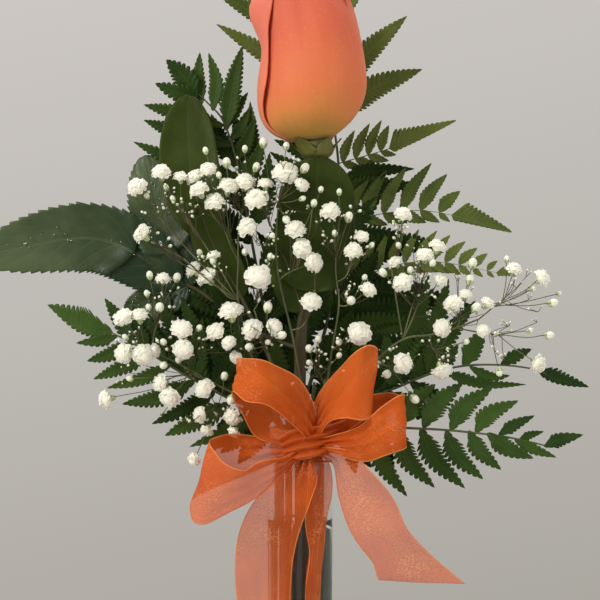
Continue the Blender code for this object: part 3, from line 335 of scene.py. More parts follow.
# Inner whorls, as (count, share, height, first angle, half span).
INNER_WHORLS = [
    (4, 0.79, 68.5, 40.0, 58.0),
    (3, 0.66, 71.5, 85.0, 72.0),
    (3, 0.46, 71.5, 20.0, 78.0),
    (2, 0.27, 70.5, 60.0, 105.0),
]
# A petal closer in than this share is wound, one edge this far within and the other without. An edge
# also curls out.
WOUND_SHARE = 0.9
WOUND_EDGES = 1.3
EDGE_ROLL = 0.7
# The bloom's closed heart and the hip under it, as (radius, height).
HEART = [(0.0, 1.0), (7.5, 1.2), (9.5, 6.0), (12.0, 14.0), (12.0, 30.0), (9.0, 46.0), (4.0, 60.0),
         (0.0, 64.0)]
HIP = [(0.0, -10.0), (2.4, -9.6), (3.0, -8.4), (3.6, -7.4), (4.8, -6.0), (5.8, -4.4), (6.6, -2.8),
       (7.2, -1.0), (7.0, 1.0), (5.8, 2.2), (0.0, 2.4)]
# Sepals: the angle of each and how far it grows, then up one: (height, distance from the axis, half angle).
SEPALS = [(-186.0, 0.95), (-114.0, 0.9), (-42.0, 1.08), (30.0, 0.86), (102.0, 0.95)]
SEPAL_RISE = [(-7.0, 4.6, 0.68), (-5.4, 6.6, 0.68), (-3.6, 7.6, 0.64), (-1.8, 8.6, 0.50),
              (0.0, 9.9, 0.27), (1.8, 11.6, 0.03)]

# Sprays of baby's breath: stem points above the neck, then branches as
# (stem point it leaves, fork, heads); a head is (x, y, z, size).
SPRAYS = {
    "babys_breath_left": (
        [(-8.6, -7.2, 220), (-15, -9, 233), (-22, -14, 252), (-27, -18, 274), (-27, -18, 291),
         (-27, -18, 302)],
        [(3, (-50, -27, 292), [(-68, -31, 303, 8)]),
         (3, (-35, -17, 279), [(-41, -17, 285, 9), (-47, -16, 288, 7), (-38, -17, 294, 6),
                               (-44, -15, 295, 3.2), (-38, -19, 291, 3.2)]),
         (3, (-61, -24, 310), [(-70, -31, 323, 8), (-60, -25, 330, 8), (-66, -26, 319, 3)]),
         (3, (-50, -20, 311), [(-52, -23, 328, 6), (-58, -22, 323, 3), (-55, -24, 318, 3)]),
         (4, (-34, -20, 308), [(-31, -24, 324, 8), (-37, -27, 317, 8), (-40, -24, 331, 7),
                               (-44, -28, 322, 8), (-46, -21, 328, 7.5), (-41, -22, 339, 3.2),
                               (-35, -26, 328, 3), (-32, -19, 334, 4.5)]),
         (5, (-25, -19, 314), [(-24, -22, 326, 8.5), (-19, -21, 332, 4), (-24, -20, 340, 3.2),
                               (-22, -19, 321, 3.2)])],
    ),
    "babys_breath_lower_left": (
        [(-11.4, -4, 220), (-24, -9, 230), (-39, -12, 238), (-53, -14, 246), (-65, -15, 252)],
        [(1, (-37, -13, 228), [(-42, -19, 236, 8), (-33, -19, 241, 4), (-44, -19, 224, 6.5),
                               (-41, -18, 217, 5.5), (-46, -24, 205, 5.5)]),
         (2, (-50, -15, 243), [(-53, -20, 248, 3.2), (-61, -21, 238, 7.5), (-57, -23, 232, 8),
                               (-74, -20, 240, 3.2), (-85, -20, 231, 8)]),
         (3, (-55, -17, 252), [(-51, -24, 262, 8.5), (-50, -27, 253, 8), (-59, -23, 246, 4),
                               (-59, -24, 256, 3.6), (-44, -20, 262, 3.2)]),
         (4, (-70, -17, 255), [(-68, -24, 250, 8), (-63, -21, 252, 5.5), (-77, -21, 251, 8),
                               (-76, -20, 258, 3.2), (-77, -22, 267, 8), (-70, -20, 268, 7.5)]),
         (4, (-63, -14, 265), [(-61, -21, 271, 4.8), (-67, -17, 277, 3.2), (-66, -19, 271, 3.2),
                               (-66, -15, 285, 3.8), (-60, -15, 284, 6), (-54, -16, 284, 4.2)])],
    ),
    "babys_breath_centre_left": (
        [(-4.8, -9.8, 220), (-9.3, -12, 234), (-15, -16, 254), (-20, -20, 270)],
        [(2, (-28, -17, 252), [(-30, -23, 270, 9.8), (-37, -21, 261, 8), (-31, -25, 256, 6),
                               (-28, -20, 249, 5.6), (-30, -20, 231, 4.6)]),
         (1, (-24, -14, 226), [(-30, -18, 223, 7), (-29, -17, 216, 5.4)]),
         (2, (-16, -18, 258), [(-21, -24, 262, 8.5), (-11, -23, 263, 7), (-8, -25, 259, 4.6),
                               (-14, -21, 271, 5), (-22, -22, 254, 4), (-14, -22, 256, 3.2)]),
         (3, (-19, -21, 275), [(-18, -28, 285, 10.5), (-24, -21, 295, 3.2), (-13, -24, 293, 3.2)])],
    ),
    "babys_breath_centre": (
        [(2.8, -9.2, 220), (1.3, -13, 234), (-3.9, -18, 261), (-9.1, -20, 283), (-10.4, -21, 298),
         (-9.6, -21, 314)],
        [(5, (-9, -22, 318), [(-6, -26, 330, 10.5), (2, -26, 331, 4.6), (1, -28, 324, 6),
                              (-6, -22, 341, 3.6), (-6, -26, 309, 4.2), (1, -25, 318, 3)]),
         (4, (-15, -22, 312), [(-19, -28, 318, 9.4), (-15, -24, 325, 6), (-16, -17, 343, 4.6)]),
         (4, (-16, -22, 298), [(-23, -27, 306, 8), (-12, -26, 302, 3)]),
         (3, (-1, -22, 288), [(-2, -27, 305, 8), (1, -28, 297, 8), (6, -27, 291, 8.5),
                              (6, -25, 316, 3.6), (9, -24, 322, 3)]),
         (2, (3, -20, 266), [(5, -26, 274, 8)])],
    ),
    "babys_breath_right_centre": (
        [(7.0, -7.0, 220), (11.1, -10, 233), (14, -14, 252), (17, -18, 272), (16, -19.5, 282)],
        [(4, (16, -20.5, 296), [(13, -27, 313, 8), (17, -23, 321, 3), (15, -25, 303, 3),
                                (21, -25, 310, 4.6)]),
         (4, (22, -20, 289), [(23, -26, 296, 7.4), (27, -22, 302, 6), (31, -21, 298, 3)]),
         (3, (23, -19, 273), [(30, -25, 279, 6.5), (28, -22, 284, 3), (22, -26, 274, 4.8)]),
         (2, (20, -17, 258), [(26, -26, 260, 9.4), (17, -22, 256, 3.6)]),
         (1, (8, -14, 243), [(4, -20, 253, 4), (8, -19, 257, 3.6), (4, -21, 247, 3.2),
                             (17, -19, 250, 3)])],
    ),
    "babys_breath_right": (
        [(10.4, -5.8, 220), (20, -9, 230), (33, -14, 247), (45, -17, 257), (57, -18, 259),
         (68, -19, 262), (78, -20, 266)],
        [(3, (52, -20, 274), [(44, -26, 282, 8), (48, -22, 287, 3.6), (61, -24, 283, 6),
                              (36, -23, 286, 4.2)]),
         (3, (54, -20, 285), [(54, -25, 294, 7.4), (60, -22, 298, 7), (57, -27, 290, 3.6),
                              (41, -20, 291, 6), (43, -19, 298, 3)]),
         (3, (40, -18, 288), [(45, -20, 312, 7)]),
         (5, (69, -20, 267), [(66, -26, 273, 8), (72, -22, 277, 5.4), (76, -25, 271, 4.8),
                              (75, -21, 290, 4.8), (74, -20, 283, 4.6), (61, -25, 262, 7.4),
                              (82, -21, 273, 6)]),
         (5, (89, -20, 259), [(108, -22, 259, 4.6), (100, -20, 261, 3), (104, -21, 246, 7.4),
                              (87, -18, 243, 4), (79, -25, 261, 5.4)]),
         (6, (89, -21, 275), [(93, -23, 288, 6.5), (90, -20, 292, 3), (105, -25, 284, 7.4),
                              (101, -22, 279, 3), (110, -20, 273, 4.6), (113, -18, 277, 2.6)]),
         (2, (40, -16, 245), [(45, -23, 247, 8.4), (38, -19, 242, 4.6), (50, -17, 231, 4.6)]),
         (4, (59, -18, 252), [(62, -22, 243, 8.4), (72, -21, 256, 3.2)])],
    ),
}
# A head of this size or more is open, and each branch has so many fine sprigs besides.
OPEN_SIZE = 5.2
SPRIGS = 8
# Layers of a floret's petals, as (count, length, tilt from its axis in radians).
FLORET_LAYERS = [(8, 1.12, 1.25), (9, 1.20, 0.92), (8, 1.26, 0.60), (5, 1.24, 0.30)]
# Turned parts of a floret and a bud, as (radius, height) against the head's own radius.
FLORET_CORE = [(0.0, -0.60), (0.50, -0.55), (0.84, -0.32), (0.93, -0.12), (0.88, 0.10), (0.68, 0.36),
               (0.36, 0.52), (0.0, 0.56)]
FLORET_CUP = [(0.0, -1.15), (0.16, -1.12), (0.30, -0.95), (0.36, -0.7), (0.38, -0.45), (0.30, -0.38),
              (0.0, -0.45)]
BUD_WHITE = [(0.0, -0.6), (0.58, -0.45), (0.80, -0.05), (0.80, 0.35), (0.62, 0.78), (0.30, 1.05),
             (0.0, 1.12)]
BUD_CUP = [(0.0, -1.15), (0.26, -1.08), (0.56, -0.80), (0.76, -0.42), (0.83, -0.12), (0.76, -0.12),
           (0.0, -0.4)]

# The bow: each run of ribbon by its two edges, from the knot and, for a loop, back to it.
BOW_RUNS = {
    "upper_left": (
        [(5, -27, 214), (7, -33, 226), (0, -40, 241), (-13, -43, 248), (-24, -41, 250),
         (-26, -33, 248), (-16, -27, 241), (-2, -24, 228), (4, -23, 214)],
        [(4, -29, 212), (0, -40, 219), (-12, -54, 230), (-22, -57, 233), (-28, -48, 236),
         (-25, -36, 226), (-18, -30, 215), (-6, -26, 212), (3, -24, 211)]),
    "upper_right": (
        [(5, -27, 215), (8, -31, 233), (19, -36, 248), (28, -36, 255), (33, -30, 253),
         (26, -24, 243), (15, -21, 229), (6, -21, 215)],
        [(6, -29, 213), (11, -40, 222), (19, -48, 225), (26, -46, 224), (30, -36, 225),
         (24, -27, 220), (15, -24, 215), (6, -22, 212)]),
    "right": (
        [(6, -28, 214), (15, -36, 217), (26, -41, 222), (35, -41, 230), (42, -36, 234),
         (44, -27, 233), (37, -20, 234), (23, -18, 230), (7, -20, 215)],
        [(6, -29, 212), (15, -38, 209), (26, -47, 207), (36, -49, 210), (44, -44, 212),
         (45, -34, 213), (36, -24, 213), (23, -20, 211), (7, -21, 211)]),
    "left": (
        [(3, -28, 212), (-6, -35, 208), (-16, -43, 207), (-23, -50, 204), (-31, -52, 207),
         (-36, -48, 212), (-37, -40, 216), (-29, -30, 217), (-16, -25, 215), (1, -23, 212)],
        [(2, -28, 209), (-7, -36, 201), (-16, -43, 193), (-28, -50, 187), (-39, -54, 182),
         (-45, -50, 184), (-45, -42, 190), (-34, -32, 195), (-18, -26, 201), (0, -23, 209)]),
    "tail_left": (
        [(1, -27, 210), (-10, -31, 198), (-20, -33, 188), (-26, -32, 175), (-28, -29, 160),
         (-27, -27, 144), (-25, -26, 128), (-22, -25, 115)],
        [(4, -29, 209), (7, -34, 199), (5, -36, 190), (0, -34, 176), (-3, -30, 162),
         (-4, -28, 144), (-2, -27, 128), (1, -26, 105)]),
    "tail_middle": (
        [(4, -25, 210), (3, -30, 198), (2, -33, 182), (3, -32, 165), (2, -31, 146),
         (0, -30, 126), (0, -29, 113)],
        [(8, -24, 210), (14, -22, 202), (14, -20, 191), (12, -18, 176), (10, -17, 157),
         (9, -17, 141), (7, -17, 122)]),
    "tail_right": (
        [(6, -29, 212), (15, -37, 212), (22, -43, 210), (28, -46, 205), (34, -47, 198),
         (40, -45, 189), (46, -42, 177), (56, -39, 166), (70, -36, 154)],
        [(6, -26, 210), (11, -24, 206), (15, -24, 202), (16, -28, 190), (20, -31, 179),
         (26, -33, 169), (31, -34, 162), (33, -35, 156), (34, -35, 155)]),
    "fold": (
        [(-9, -29, 215), (-3, -32.5, 219), (5, -34, 220.5), (12, -32, 221), (19, -27, 223)],
        [(-6, -29, 205), (0, -33, 206), (6, -34.5, 207.5), (12, -32.5, 210), (17, -28, 214)]),
}
# The ribbon's cut width and pleats, the length in which they open after the gather, the share of them
# that stays in a tail and in a loop, and the pitch of its weave.
RIBBON_WIDTH = 25.0
PLEATS = 3.5
PLEAT_FADE = 14.0
TAIL_PLEAT = 0.45
LOOP_PLEAT = 0.2
RUN_ROWS = 90
RUN_COLUMNS = 28
WEFT_PITCH = 0.35
BOW_CENTRE = (4.5, -21.4, 212.0)
KNOT_SIZE = (4.4, 8.4, 4.8)
KNOT_SIDES = 48
KNOT_ROWS = 16
# The band round the stems: its middle radius, its two edges, and the flat ribbon that it is made of.
BAND_MIDDLE = 13.3
BAND_BOTTOM = 205.0
BAND_TOP = 217.0
BAND_ROWS = 24
BAND_STEPS = 96

# Vase: its height, neck and bore, the water's level, the bore's radius by height and the heights where
# it is read, and the outside as (radius, height).
VASE_HEIGHT = 203.0
NECK_RADIUS = 14.6
BORE_RADIUS = 12.4
WATER_LEVEL = 176.0
VASE_BORE = [(9, 20), (13, 25), (36, 25.6), (62, 19.6), (92, 14), (124, BORE_RADIUS),
             (VASE_HEIGHT, BORE_RADIUS)]
VASE_LEVELS = (9.0, 13.0, 24.0, 36.0, 49.0, 62.0, 77.0, 92.0, 108.0, 124.0, 150.0, 176.0, 190.0, 201.0)
VASE_OUTSIDE = [(29.0, 0.0), (30.8, 2.0), (31.0, 6.0), (31.0, 12.0), (28.8, 36.0), (22.4, 62.0),
                (16.6, 92.0), (NECK_RADIUS, 124.0), (NECK_RADIUS, 163.0), (NECK_RADIUS, 202.0)]
VASE_SIDES = 128

# ---------------------------------------------------------------- curves

def along(points, share):
    """The point at a share of the way along a smooth curve through the given ones."""
    route = [Vector(point) for point in points]
    route = [2 * route[0] - route[1]] + route + [2 * route[-1] - route[-2]]
    spans = len(points) - 1
    place = min(max(share, 0.0), 1.0) * spans
    span = min(int(place), spans - 1)
    t = place - span
    a, b, c, d = route[span:span + 4]
    return 0.5 * (2 * b + (c - a) * t + (2 * a - 5 * b + 4 * c - d) * t * t
                  + (3 * b - a - 3 * c + d) * t ** 3)


def heading(points, share):
    """The direction of that curve there."""
    step = 0.01
    return (along(points, share + step) - along(points, share - step)).normalized()


def frame_at(points, share):
    """Middle, heading, sideways and facing directions on a blade whose face is to the front."""
    forward = heading(points, share)
    side = forward.cross(FRONT).normalized()
    return along(points, share), forward, side, side.cross(forward).normalized()


def smooth_route(points, steps):
    """A list of points along a smooth curve."""
    return [along(points, step / steps) for step in range(steps + 1)]


def interpolate(pairs, x):
    """Straight-line reading of a table of (x, value) pairs."""
    for (x0, y0), (x1, y1) in zip(pairs, pairs[1:]):
        if x <= x1:
            return y0 + (y1 - y0) * max(x - x0, 0.0) / (x1 - x0)
    return pairs[-1][1]


def rounded(pairs, x, spread):
    """Smooth reading of such a table: the mean there and a little to either side."""
    return sum(interpolate(pairs, max(x + shift * spread, pairs[0][0])) for shift in (-1, 0, 1)) / 3


def ease(x):
    """Rises smoothly from 0 to 1."""
    x = min(max(x, 0.0), 1.0)
    return x * x * (3 - 2 * x)


def bell(x, width):
    """Falls off smoothly to both sides of 0."""
    return math.exp(-(x / width) ** 2)


def turns(sides):
    """Equal steps round a circle, as (share of it, angle)."""
    return [(step / sides, math.tau * step / sides) for step in range(sides)]


def round_spot(radius, angle, height):
    """The point at a radius, an angle from the front and a height."""
    return Vector((radius * math.sin(angle), -radius * math.cos(angle), height))


def axes_at(spot, x, y, z):
    """The placing whose three axes are given."""
    return Matrix.Translation(spot) @ Matrix((x, y, z)).transposed().to_4x4()


def aimed(spot, way, axis="Z"):
    """The placing whose axis points the given way."""
    return Matrix.Translation(spot) @ way.to_track_quat(axis, "Y").to_matrix().to_4x4()


# ---------------------------------------------------------------- meshes in the making

class Shape:
    """Thin sheets and closed solids gathered into one mesh, in millimetres.

    Both are given as rows of (point, mark). A mark is (across, along, tone), which the materials read.
    """

    def __init__(self):
        self.parts = {"sheet": ([], [], [], []), "solid": ([], [], [], [])}

    def add(self, part, rows, faces, slot):
        """Append rows of marked points, and faces numbered from the first of them."""
        points, marks, all_faces, slots = self.parts[part]
        first = len(points)
        for row in rows:
            points += [point for point, _ in row]
            marks += [mark for _, mark in row]
        all_faces += [tuple(first + corner for corner in face) for face in faces]
        slots += [slot] * len(faces)

    def grid(self, rows, slot=0):
        """A sheet of quads through rows of points."""
        wide = len(rows[0])
        corners = [row * wide + column for row in range(len(rows) - 1) for column in range(wide - 1)]
        self.add("sheet", rows, [(a, a + 1, a + wide + 1, a + wide) for a in corners], slot)

    def rings(self, rows, slot=0):
        """A closed solid through rings of points that run anticlockwise seen from its end."""
        count = len(rows[0])
        last = (len(rows) - 1) * count
        faces = [tuple(reversed(range(count)))]
        for first in range(0, last, count):
            for step in range(count):
                a, b = first + step, first + (step + 1) % count
                faces.append((a, b, b + count, a + count))
        faces.append(tuple(range(last, last + count)))
        self.add("solid", rows, faces, slot)

    def rod(self, route, radii, sides, slot=0):
        """A closed rod along a route of points, of one radius or of one for each point."""
        route = [Vector(point) for point in route]
        rows = []
        side = None
        for number, point in enumerate(route):
            ahead = route[min(number + 1, len(route) - 1)] - route[max(number - 1, 0)]
            ahead.normalize()
            if side is None:
                side = ahead.orthogonal().normalized()
            side = (side - ahead * side.dot(ahead)).normalized()
            other = ahead.cross(side)
            share = number / (len(route) - 1)
            radius = radii[number] if isinstance(radii, list) else radii
            rows.append([(point + radius * (side * math.cos(turn) + other * math.sin(turn)),
                          (part, share, 0.5)) for part, turn in turns(sides)])
        self.rings(rows, slot)

    def turned(self, place, profile, sides, tone=0.5, slot=0, size=1.0, ribs=0.0, rib_count=0):
        """A closed solid turned about a placed Z axis from (radius, height) times size, ribbed if asked."""
        rows = []
        for number, (radius, height) in enumerate(profile):
            share = number / (len(profile) - 1)
            row = []
            for part, turn in turns(sides):
                reach = size * radius * (1 + ribs * math.cos(rib_count * turn))
                spot = Vector((reach * math.cos(turn), reach * math.sin(turn), size * height))
                row.append((place @ spot, (part, share, tone)))
            rows.append(row)
        self.rings(rows, slot)

    def part_mesh(self, part):
        """One of the two parts as a mesh in metres."""
        points, marks, faces, slots = self.parts[part]
        mesh = bpy.data.meshes.new(part)
        mesh.from_pydata([tuple(point * MM for point in spot) for spot in points], [], faces)
        mesh.update()
        note = mesh.attributes.new("mark", "FLOAT_VECTOR", "POINT")
        note.data.foreach_set("vector", [value for mark in marks for value in mark])
        mesh.polygons.foreach_set("material_index", slots)
        return mesh

    def thickened(self, surfaces, thickness):
        """The sheets as a mesh with a thickness."""
        flat = self.part_mesh("sheet")
        for surface in surfaces:
            flat.materials.append(surface)
        carrier = bpy.data.objects.new("carrier", flat)
        bpy.context.scene.collection.objects.link(carrier)
        shell = carrier.modifiers.new("thickness", "SOLIDIFY")
        shell.thickness = thickness * MM
        shell.offset = 0.0
        graph = bpy.context.evaluated_depsgraph_get()
        mesh = bpy.data.meshes.new_from_object(carrier.evaluated_get(graph))
        bpy.data.objects.remove(carrier)
        bpy.data.meshes.remove(flat)
        return mesh

    def build(self, name, surfaces, thickness=LEAF_THICK):
        """The finished object, its sheets given a thickness and all of it shaded smooth."""
        parts = []
        if self.parts["sheet"][0]:
            parts.append(self.thickened(surfaces, thickness))
        if self.parts["solid"][0]:
            parts.append(self.part_mesh("solid"))
        work = bmesh.new()
        for part in parts:
            work.from_mesh(part)
            bpy.data.meshes.remove(part)
        mesh = bpy.data.meshes.new(name)
        work.to_mesh(mesh)
        work.free()
        mesh.shade_smooth()
        for surface in surfaces:
            mesh.materials.append(surface)
        item = bpy.data.objects.new(name, mesh)
        bpy.context.scene.collection.objects.link(item)
        return item


def place_piece(item, node):
    """Ride a piece on the vase's body, in the finish and in place of the solid it stands for."""
    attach(item, "root")
    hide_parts(node)
    return item


# ---------------------------------------------------------------- materials

class Wire:
    """A number that runs through a tree of nodes. A sum with it adds the node that works it out."""

    def __init__(self, tree, socket):
        self.tree = tree
        self.socket = socket

    def math(self, operation, other=0.0):
        """A Math node on this number and another."""
        return self.tree.node("Math", {"operation": operation}, i0=self, i1=other)[0]

    def __add__(self, other):
        return self.math("ADD", other)

    def __sub__(self, other):
        return self.math("SUBTRACT", other)

    def __mul__(self, other):
        return self.math("MULTIPLY", other)

    def __abs__(self):
        return self.math("ABSOLUTE")

    def stripes(self):
        """Falls from a half to nothing and rises again in each whole step of this number."""
        return abs(self.math("FRACT") - 0.5)

    def scaled(self, low, high, to_low=0.0, to_high=1.0):
        """The range from low to high carried to another."""
        return self.tree.node("MapRange", i0=self, i1=low, i2=high, i3=to_low, i4=to_high)[0]


class Tree:
    """A tree of shader nodes, with short ways to add to it."""

    def __init__(self, tree):
        self.nodes = tree.nodes
        self.links = tree.links

    def node(self, kind, settings=None, **inputs):
        """Add a node and give its outputs. Inputs are wires or values, by socket name or number."""
        node = self.nodes.new("ShaderNode" + kind)
        for key, value in (settings or {}).items():
            setattr(node, key, value)
        for key, value in inputs.items():
            self.feed(node.inputs[int(key[1:])] if key[1:].isdigit() else node.inputs[key], value)
        return [Wire(self, socket) for socket in node.outputs]

    def feed(self, socket, value):
        """Wire a socket, or set its value."""
        if isinstance(value, Wire):
            self.links.new(value.socket, socket)
        else:
            socket.default_value = value

    def place(self, kind="Object", stretch=None):
        """Where a point is, in one of the coordinates that a shader has, stretched if asked."""
        node = self.nodes.new("ShaderNodeTexCoord")
        where = Wire(self, node.outputs[kind])
        return self.node("Mapping", Vector=where, Scale=stretch)[0] if stretch else where

    def grain(self, scale, detail=3.0, stretch=None):
        """Noise in the object's own space, by turns per metre."""
        return self.node("TexNoise", Vector=self.place(stretch=stretch), Scale=scale, Detail=detail)[0]

    def split(self, vector):
        """The three numbers of a vector."""
        return self.node("SeparateXYZ", Vector=vector)

    def ramp(self, factor, stops):
        """Colours at places along a factor."""
        colour = self.node("ValToRGB", i0=factor)[0]
        band = colour.socket.node.color_ramp
        while len(band.elements) < len(stops):
            band.elements.new(0.5)
        for element, (place, shade) in zip(band.elements, stops):
            element.position = place
            element.color = (*shade, 1.0)
        return colour

    def blend(self, factor, a, b):
        """A mix of two colours."""
        a, b = [(*colour, 1.0) if isinstance(colour, tuple) else colour for colour in (a, b)]
        return self.node("Mix", {"data_type": "RGBA"}, i0=factor, i6=a, i7=b)[2]


class Surface(Tree):
    """A Principled material."""

    def __init__(self, name, colour, roughness, **values):
        self.material = bpy.data.materials.new(name)
        self.material.use_nodes = True
        self.material.diffuse_color = (*colour, 1.0)
        super().__init__(self.material.node_tree)
        self.sockets = self.nodes["Principled BSDF"].inputs
        self.set(base_color=(*colour, 1.0), roughness=roughness, **values)

    def set(self, **values):
        """Wire or set the shader's own sockets, by their names in small letters."""
        for key, value in values.items():
            self.feed(self.sockets[key.replace("_", " ").title().replace("Ior", "IOR")], value)

    def mark(self):
        """The three numbers of each point's mark."""
        return self.split(self.node("Attribute", {"attribute_name": "mark"})[1])

    def relief(self, height, strength, distance):
        """Bump from a height."""
        self.set(normal=self.node("Bump", Height=height, Strength=strength, Distance=distance)[0])


def mottled_surface(name, colour, roughness, grain, dark, light, **values):
    """A plain material with a soft mottle of the given grain."""
    surface = Surface(name, colour, roughness, **values)
    surface.set(base_color=surface.blend(surface.grain(*grain), dark, light))
    return surface.material


def clear_surface(name, colour, refraction):
    """Glass or water: clear, with the faintest ripple in it."""
    deeper = tuple(0.985 * c for c in colour)
    return mottled_surface(name, colour, 0.0, (14.0, 2.0), colour, deeper, transmission_weight=1.0,
                           ior=refraction)


def leaf_surface(name, dark, light, vein, veins, lean, roughness, relief, gloss, fade=0.0):
    """A leaf: mottled green, side veins that lean forward from the midrib, and a tone of its own."""
    surface = Surface(name, dark, roughness, specular_ior_level=gloss)
    across, share, tone = surface.mark()
    fine = surface.grain(900.0, 2.0)
    mottle = surface.grain(90.0, 4.0) * 0.7 + tone * 0.6 + (share - 0.5) * fade
    green = surface.blend(mottle.scaled(0.35, 0.95), dark, light)
    side_vein = (share * veins - abs(across) * lean).stripes().scaled(0.0, 0.07, 1.0, 0.0)
    lines = abs(across).scaled(0.02, 0.06, 1.0, 0.0).math("MAXIMUM", side_vein * 0.5)
    surface.set(base_color=surface.blend(lines * 0.5, green, vein),
                roughness=fine.scaled(0.3, 0.7, roughness - 0.06, roughness + 0.08))
    surface.relief(fine * 0.5 - lines, relief, 0.0003)
    return surface.material


def petal_surface():
    """Rose petals: greenish yellow at the foot, orange in the body, coral at the rim, and painted shade that
    turns a petal of low tone deeper red.
    """
    surface = Surface("rose petal", (0.72, 0.17, 0.07), 0.6, specular_ior_level=0.25,
                      subsurface_weight=0.15, subsurface_scale=0.002, subsurface_radius=(1.0, 0.3, 0.15),
                      sheen_weight=0.15, sheen_roughness=0.5, sheen_tint=(1.0, 0.6, 0.45, 1.0))
    across, share, tone = surface.mark()
    lengthwise = surface.node("CombineXYZ", X=across * 14.0, Y=share * 2.0, Z=tone)[0]
    veins = surface.node("TexNoise", Vector=lengthwise, Scale=1.0, Detail=4.0)[0]
    freckles = surface.grain(1500.0, 2.0)
    place = share + (surface.grain(42.0, 3.0) - 0.5) * 0.20 + abs(across) * 0.10
    colour = surface.ramp(place, [(0.0, (0.30, 0.24, 0.03)), (0.07, (0.46, 0.24, 0.04)),
                                  (0.17, (0.68, 0.23, 0.055)), (0.34, (0.74, 0.18, 0.062)),
                                  (0.70, (0.69, 0.130, 0.060)), (1.0, (0.64, 0.12, 0.070))])
    # Painted shade in the last mix: a petal of low tone, such as the inner whorls and the back petals, is
    # darkened to deep red.
    for amount, shade in ((veins.scaled(0.35, 0.7, 0.0, 0.08), (0.90, 0.30, 0.14)),
                          (freckles.scaled(0.60, 0.75, 0.0, 0.25), (0.95, 0.42, 0.22)),
                          (tone.scaled(1.0, 1.3, 0.0, 0.45), (0.84, 0.24, 0.17)),
                          (tone.scaled(0.4, 0.9, 0.45, 0.0), (0.60, 0.07, 0.03))):
        colour = surface.blend(amount, colour, shade)
    surface.set(base_color=colour)
    surface.relief(veins * 0.3 + freckles * 0.3, 0.15, 0.0004)
    return surface.material


def stem_surface(name, dark, light):
    """A stem: streaked along its length."""
    surface = Surface(name, dark, 0.5, specular_ior_level=0.4)
    streaks = surface.grain(260.0, 3.0, stretch=(1.0, 1.0, 0.12))
    surface.set(base_color=surface.blend(streaks.scaled(0.3, 0.7), dark, light))
    surface.relief(streaks, 0.3, 0.0003)
    return surface.material


def floret_surface():
    """Petals of baby's breath: white, a little green and cream in the folds."""
    surface = Surface("floret white", (0.86, 0.845, 0.63), 0.7, specular_ior_level=0.15,
                      subsurface_weight=0.5, subsurface_scale=0.0012, subsurface_radius=(1.0, 1.0, 0.9))
    _, share, tone = surface.mark()
    inner = surface.ramp(share, [(0.0, (0.50, 0.52, 0.22)), (0.40, (0.84, 0.82, 0.54)),
                                 (0.80, (0.93, 0.91, 0.74)), (1.0, (0.95, 0.935, 0.80))])
    surface.set(base_color=surface.blend(tone.scaled(0.0, 1.0, 0.18, 0.0), inner, (0.74, 0.72, 0.54)))
    return surface.material


def striped_surface(name, colour, roughness, edge, dark, light):
    """A bud or calyx of baby's breath: five dark stripes up it, which fade to light across their edge."""
    surface = Surface(name, colour, roughness)
    across, _, _ = surface.mark()
    surface.set(base_color=surface.blend((across * 5.0).stripes().scaled(*edge), dark, light))
    return surface.material


def organza_surface(name, ground, glitter):
    """Sheer orange organza: open weave, denser at its selvages, with a glitter of bright threads whose glint
    is partly painted as a lighter colour.
    """
    surface = Surface(name, (0.78, 0.14, 0.02), 0.6, specular_ior_level=0.12, sheen_weight=0.06,
                      sheen_roughness=0.4, sheen_tint=(1.0, 0.50, 0.25, 1.0))
    across, _, weft = surface.mark()
    warp_threads, weft_threads = [(where * count).stripes().scaled(0.12, 0.38, 1.0, 0.0)
                                  for where, count in ((across, 72.0), (weft, 1.0))]
    weave = warp_threads.math("MAXIMUM", weft_threads)
    selvage = abs(across - 0.5).scaled(0.470, 0.486)
    glints = surface.node("TexVoronoi", Scale=1900.0, Vector=surface.place(stretch=(1.0, 1.0, 2.2)))
    patches = surface.grain(38.0, 2.0).scaled(0.50, 0.66)
    sparkle = surface.split(glints[1])[0].scaled(0.72, 0.88, 0.0, glitter) * patches
    plain = surface.blend(surface.grain(30.0).scaled(0.3, 0.7), (0.62, 0.092, 0.008), (0.84, 0.165, 0.022))
    # Painted glint: the glitter threads are blended to light orange in the colour, beside their real lower
    # roughness and denser cover.
    painted_glint_colour = surface.blend(sparkle * 0.7, plain, (1.0, 0.55, 0.25))
    cover = weave * 0.14 + ground + sparkle * 0.15
    surface.set(base_color=surface.blend(selvage * 0.6, painted_glint_colour, (0.95, 0.36, 0.12)),
                alpha=cover.math("MAXIMUM", selvage * 0.85),
                roughness=sparkle.scaled(0.0, 1.0, 0.6, 0.25))
    surface.relief(weave, 0.4, 0.0002)
    return surface.material


def gathered_surface():
    """Organza drawn together: dense, with fine folds in its relief, their shade and light also painted into
    its colour.
    """
    surface = Surface("gathered organza", (0.80, 0.20, 0.06), 0.45, sheen_weight=0.6)
    folds = surface.grain(700.0, 3.0, stretch=(1.0, 0.25, 1.0))
    # Painted shade and light: the colour darkens and lightens with the same noise that raises the folds.
    surface.set(base_color=surface.blend(folds.scaled(0.35, 0.65), (0.60, 0.12, 0.03), (0.92, 0.34, 0.15)))
    surface.relief(folds, 0.6, 0.0004)
    return surface.material


# ---------------------------------------------------------------- foliage

def leaf_half(share, half, fullness):
    """Half width of a broad leaf at a share of its length: rounded, from a stalk to a blunt tip."""
    round_half = half * max(1 - abs(1 - 2 * share ** 0.85) ** fullness, 0.0) ** (1 / 1.8)
    return max(round_half, 0.9 * (1 - share) + 0.05)


def leaf_fold(share, across, rim):
    """Rise of the crease across a leaf: steep below it, gentle beyond."""
    beyond = share - 0.30 - 0.10 * across * across
    return bell(beyond, 0.07 if beyond > 0 else 0.012) * (1 - rim)


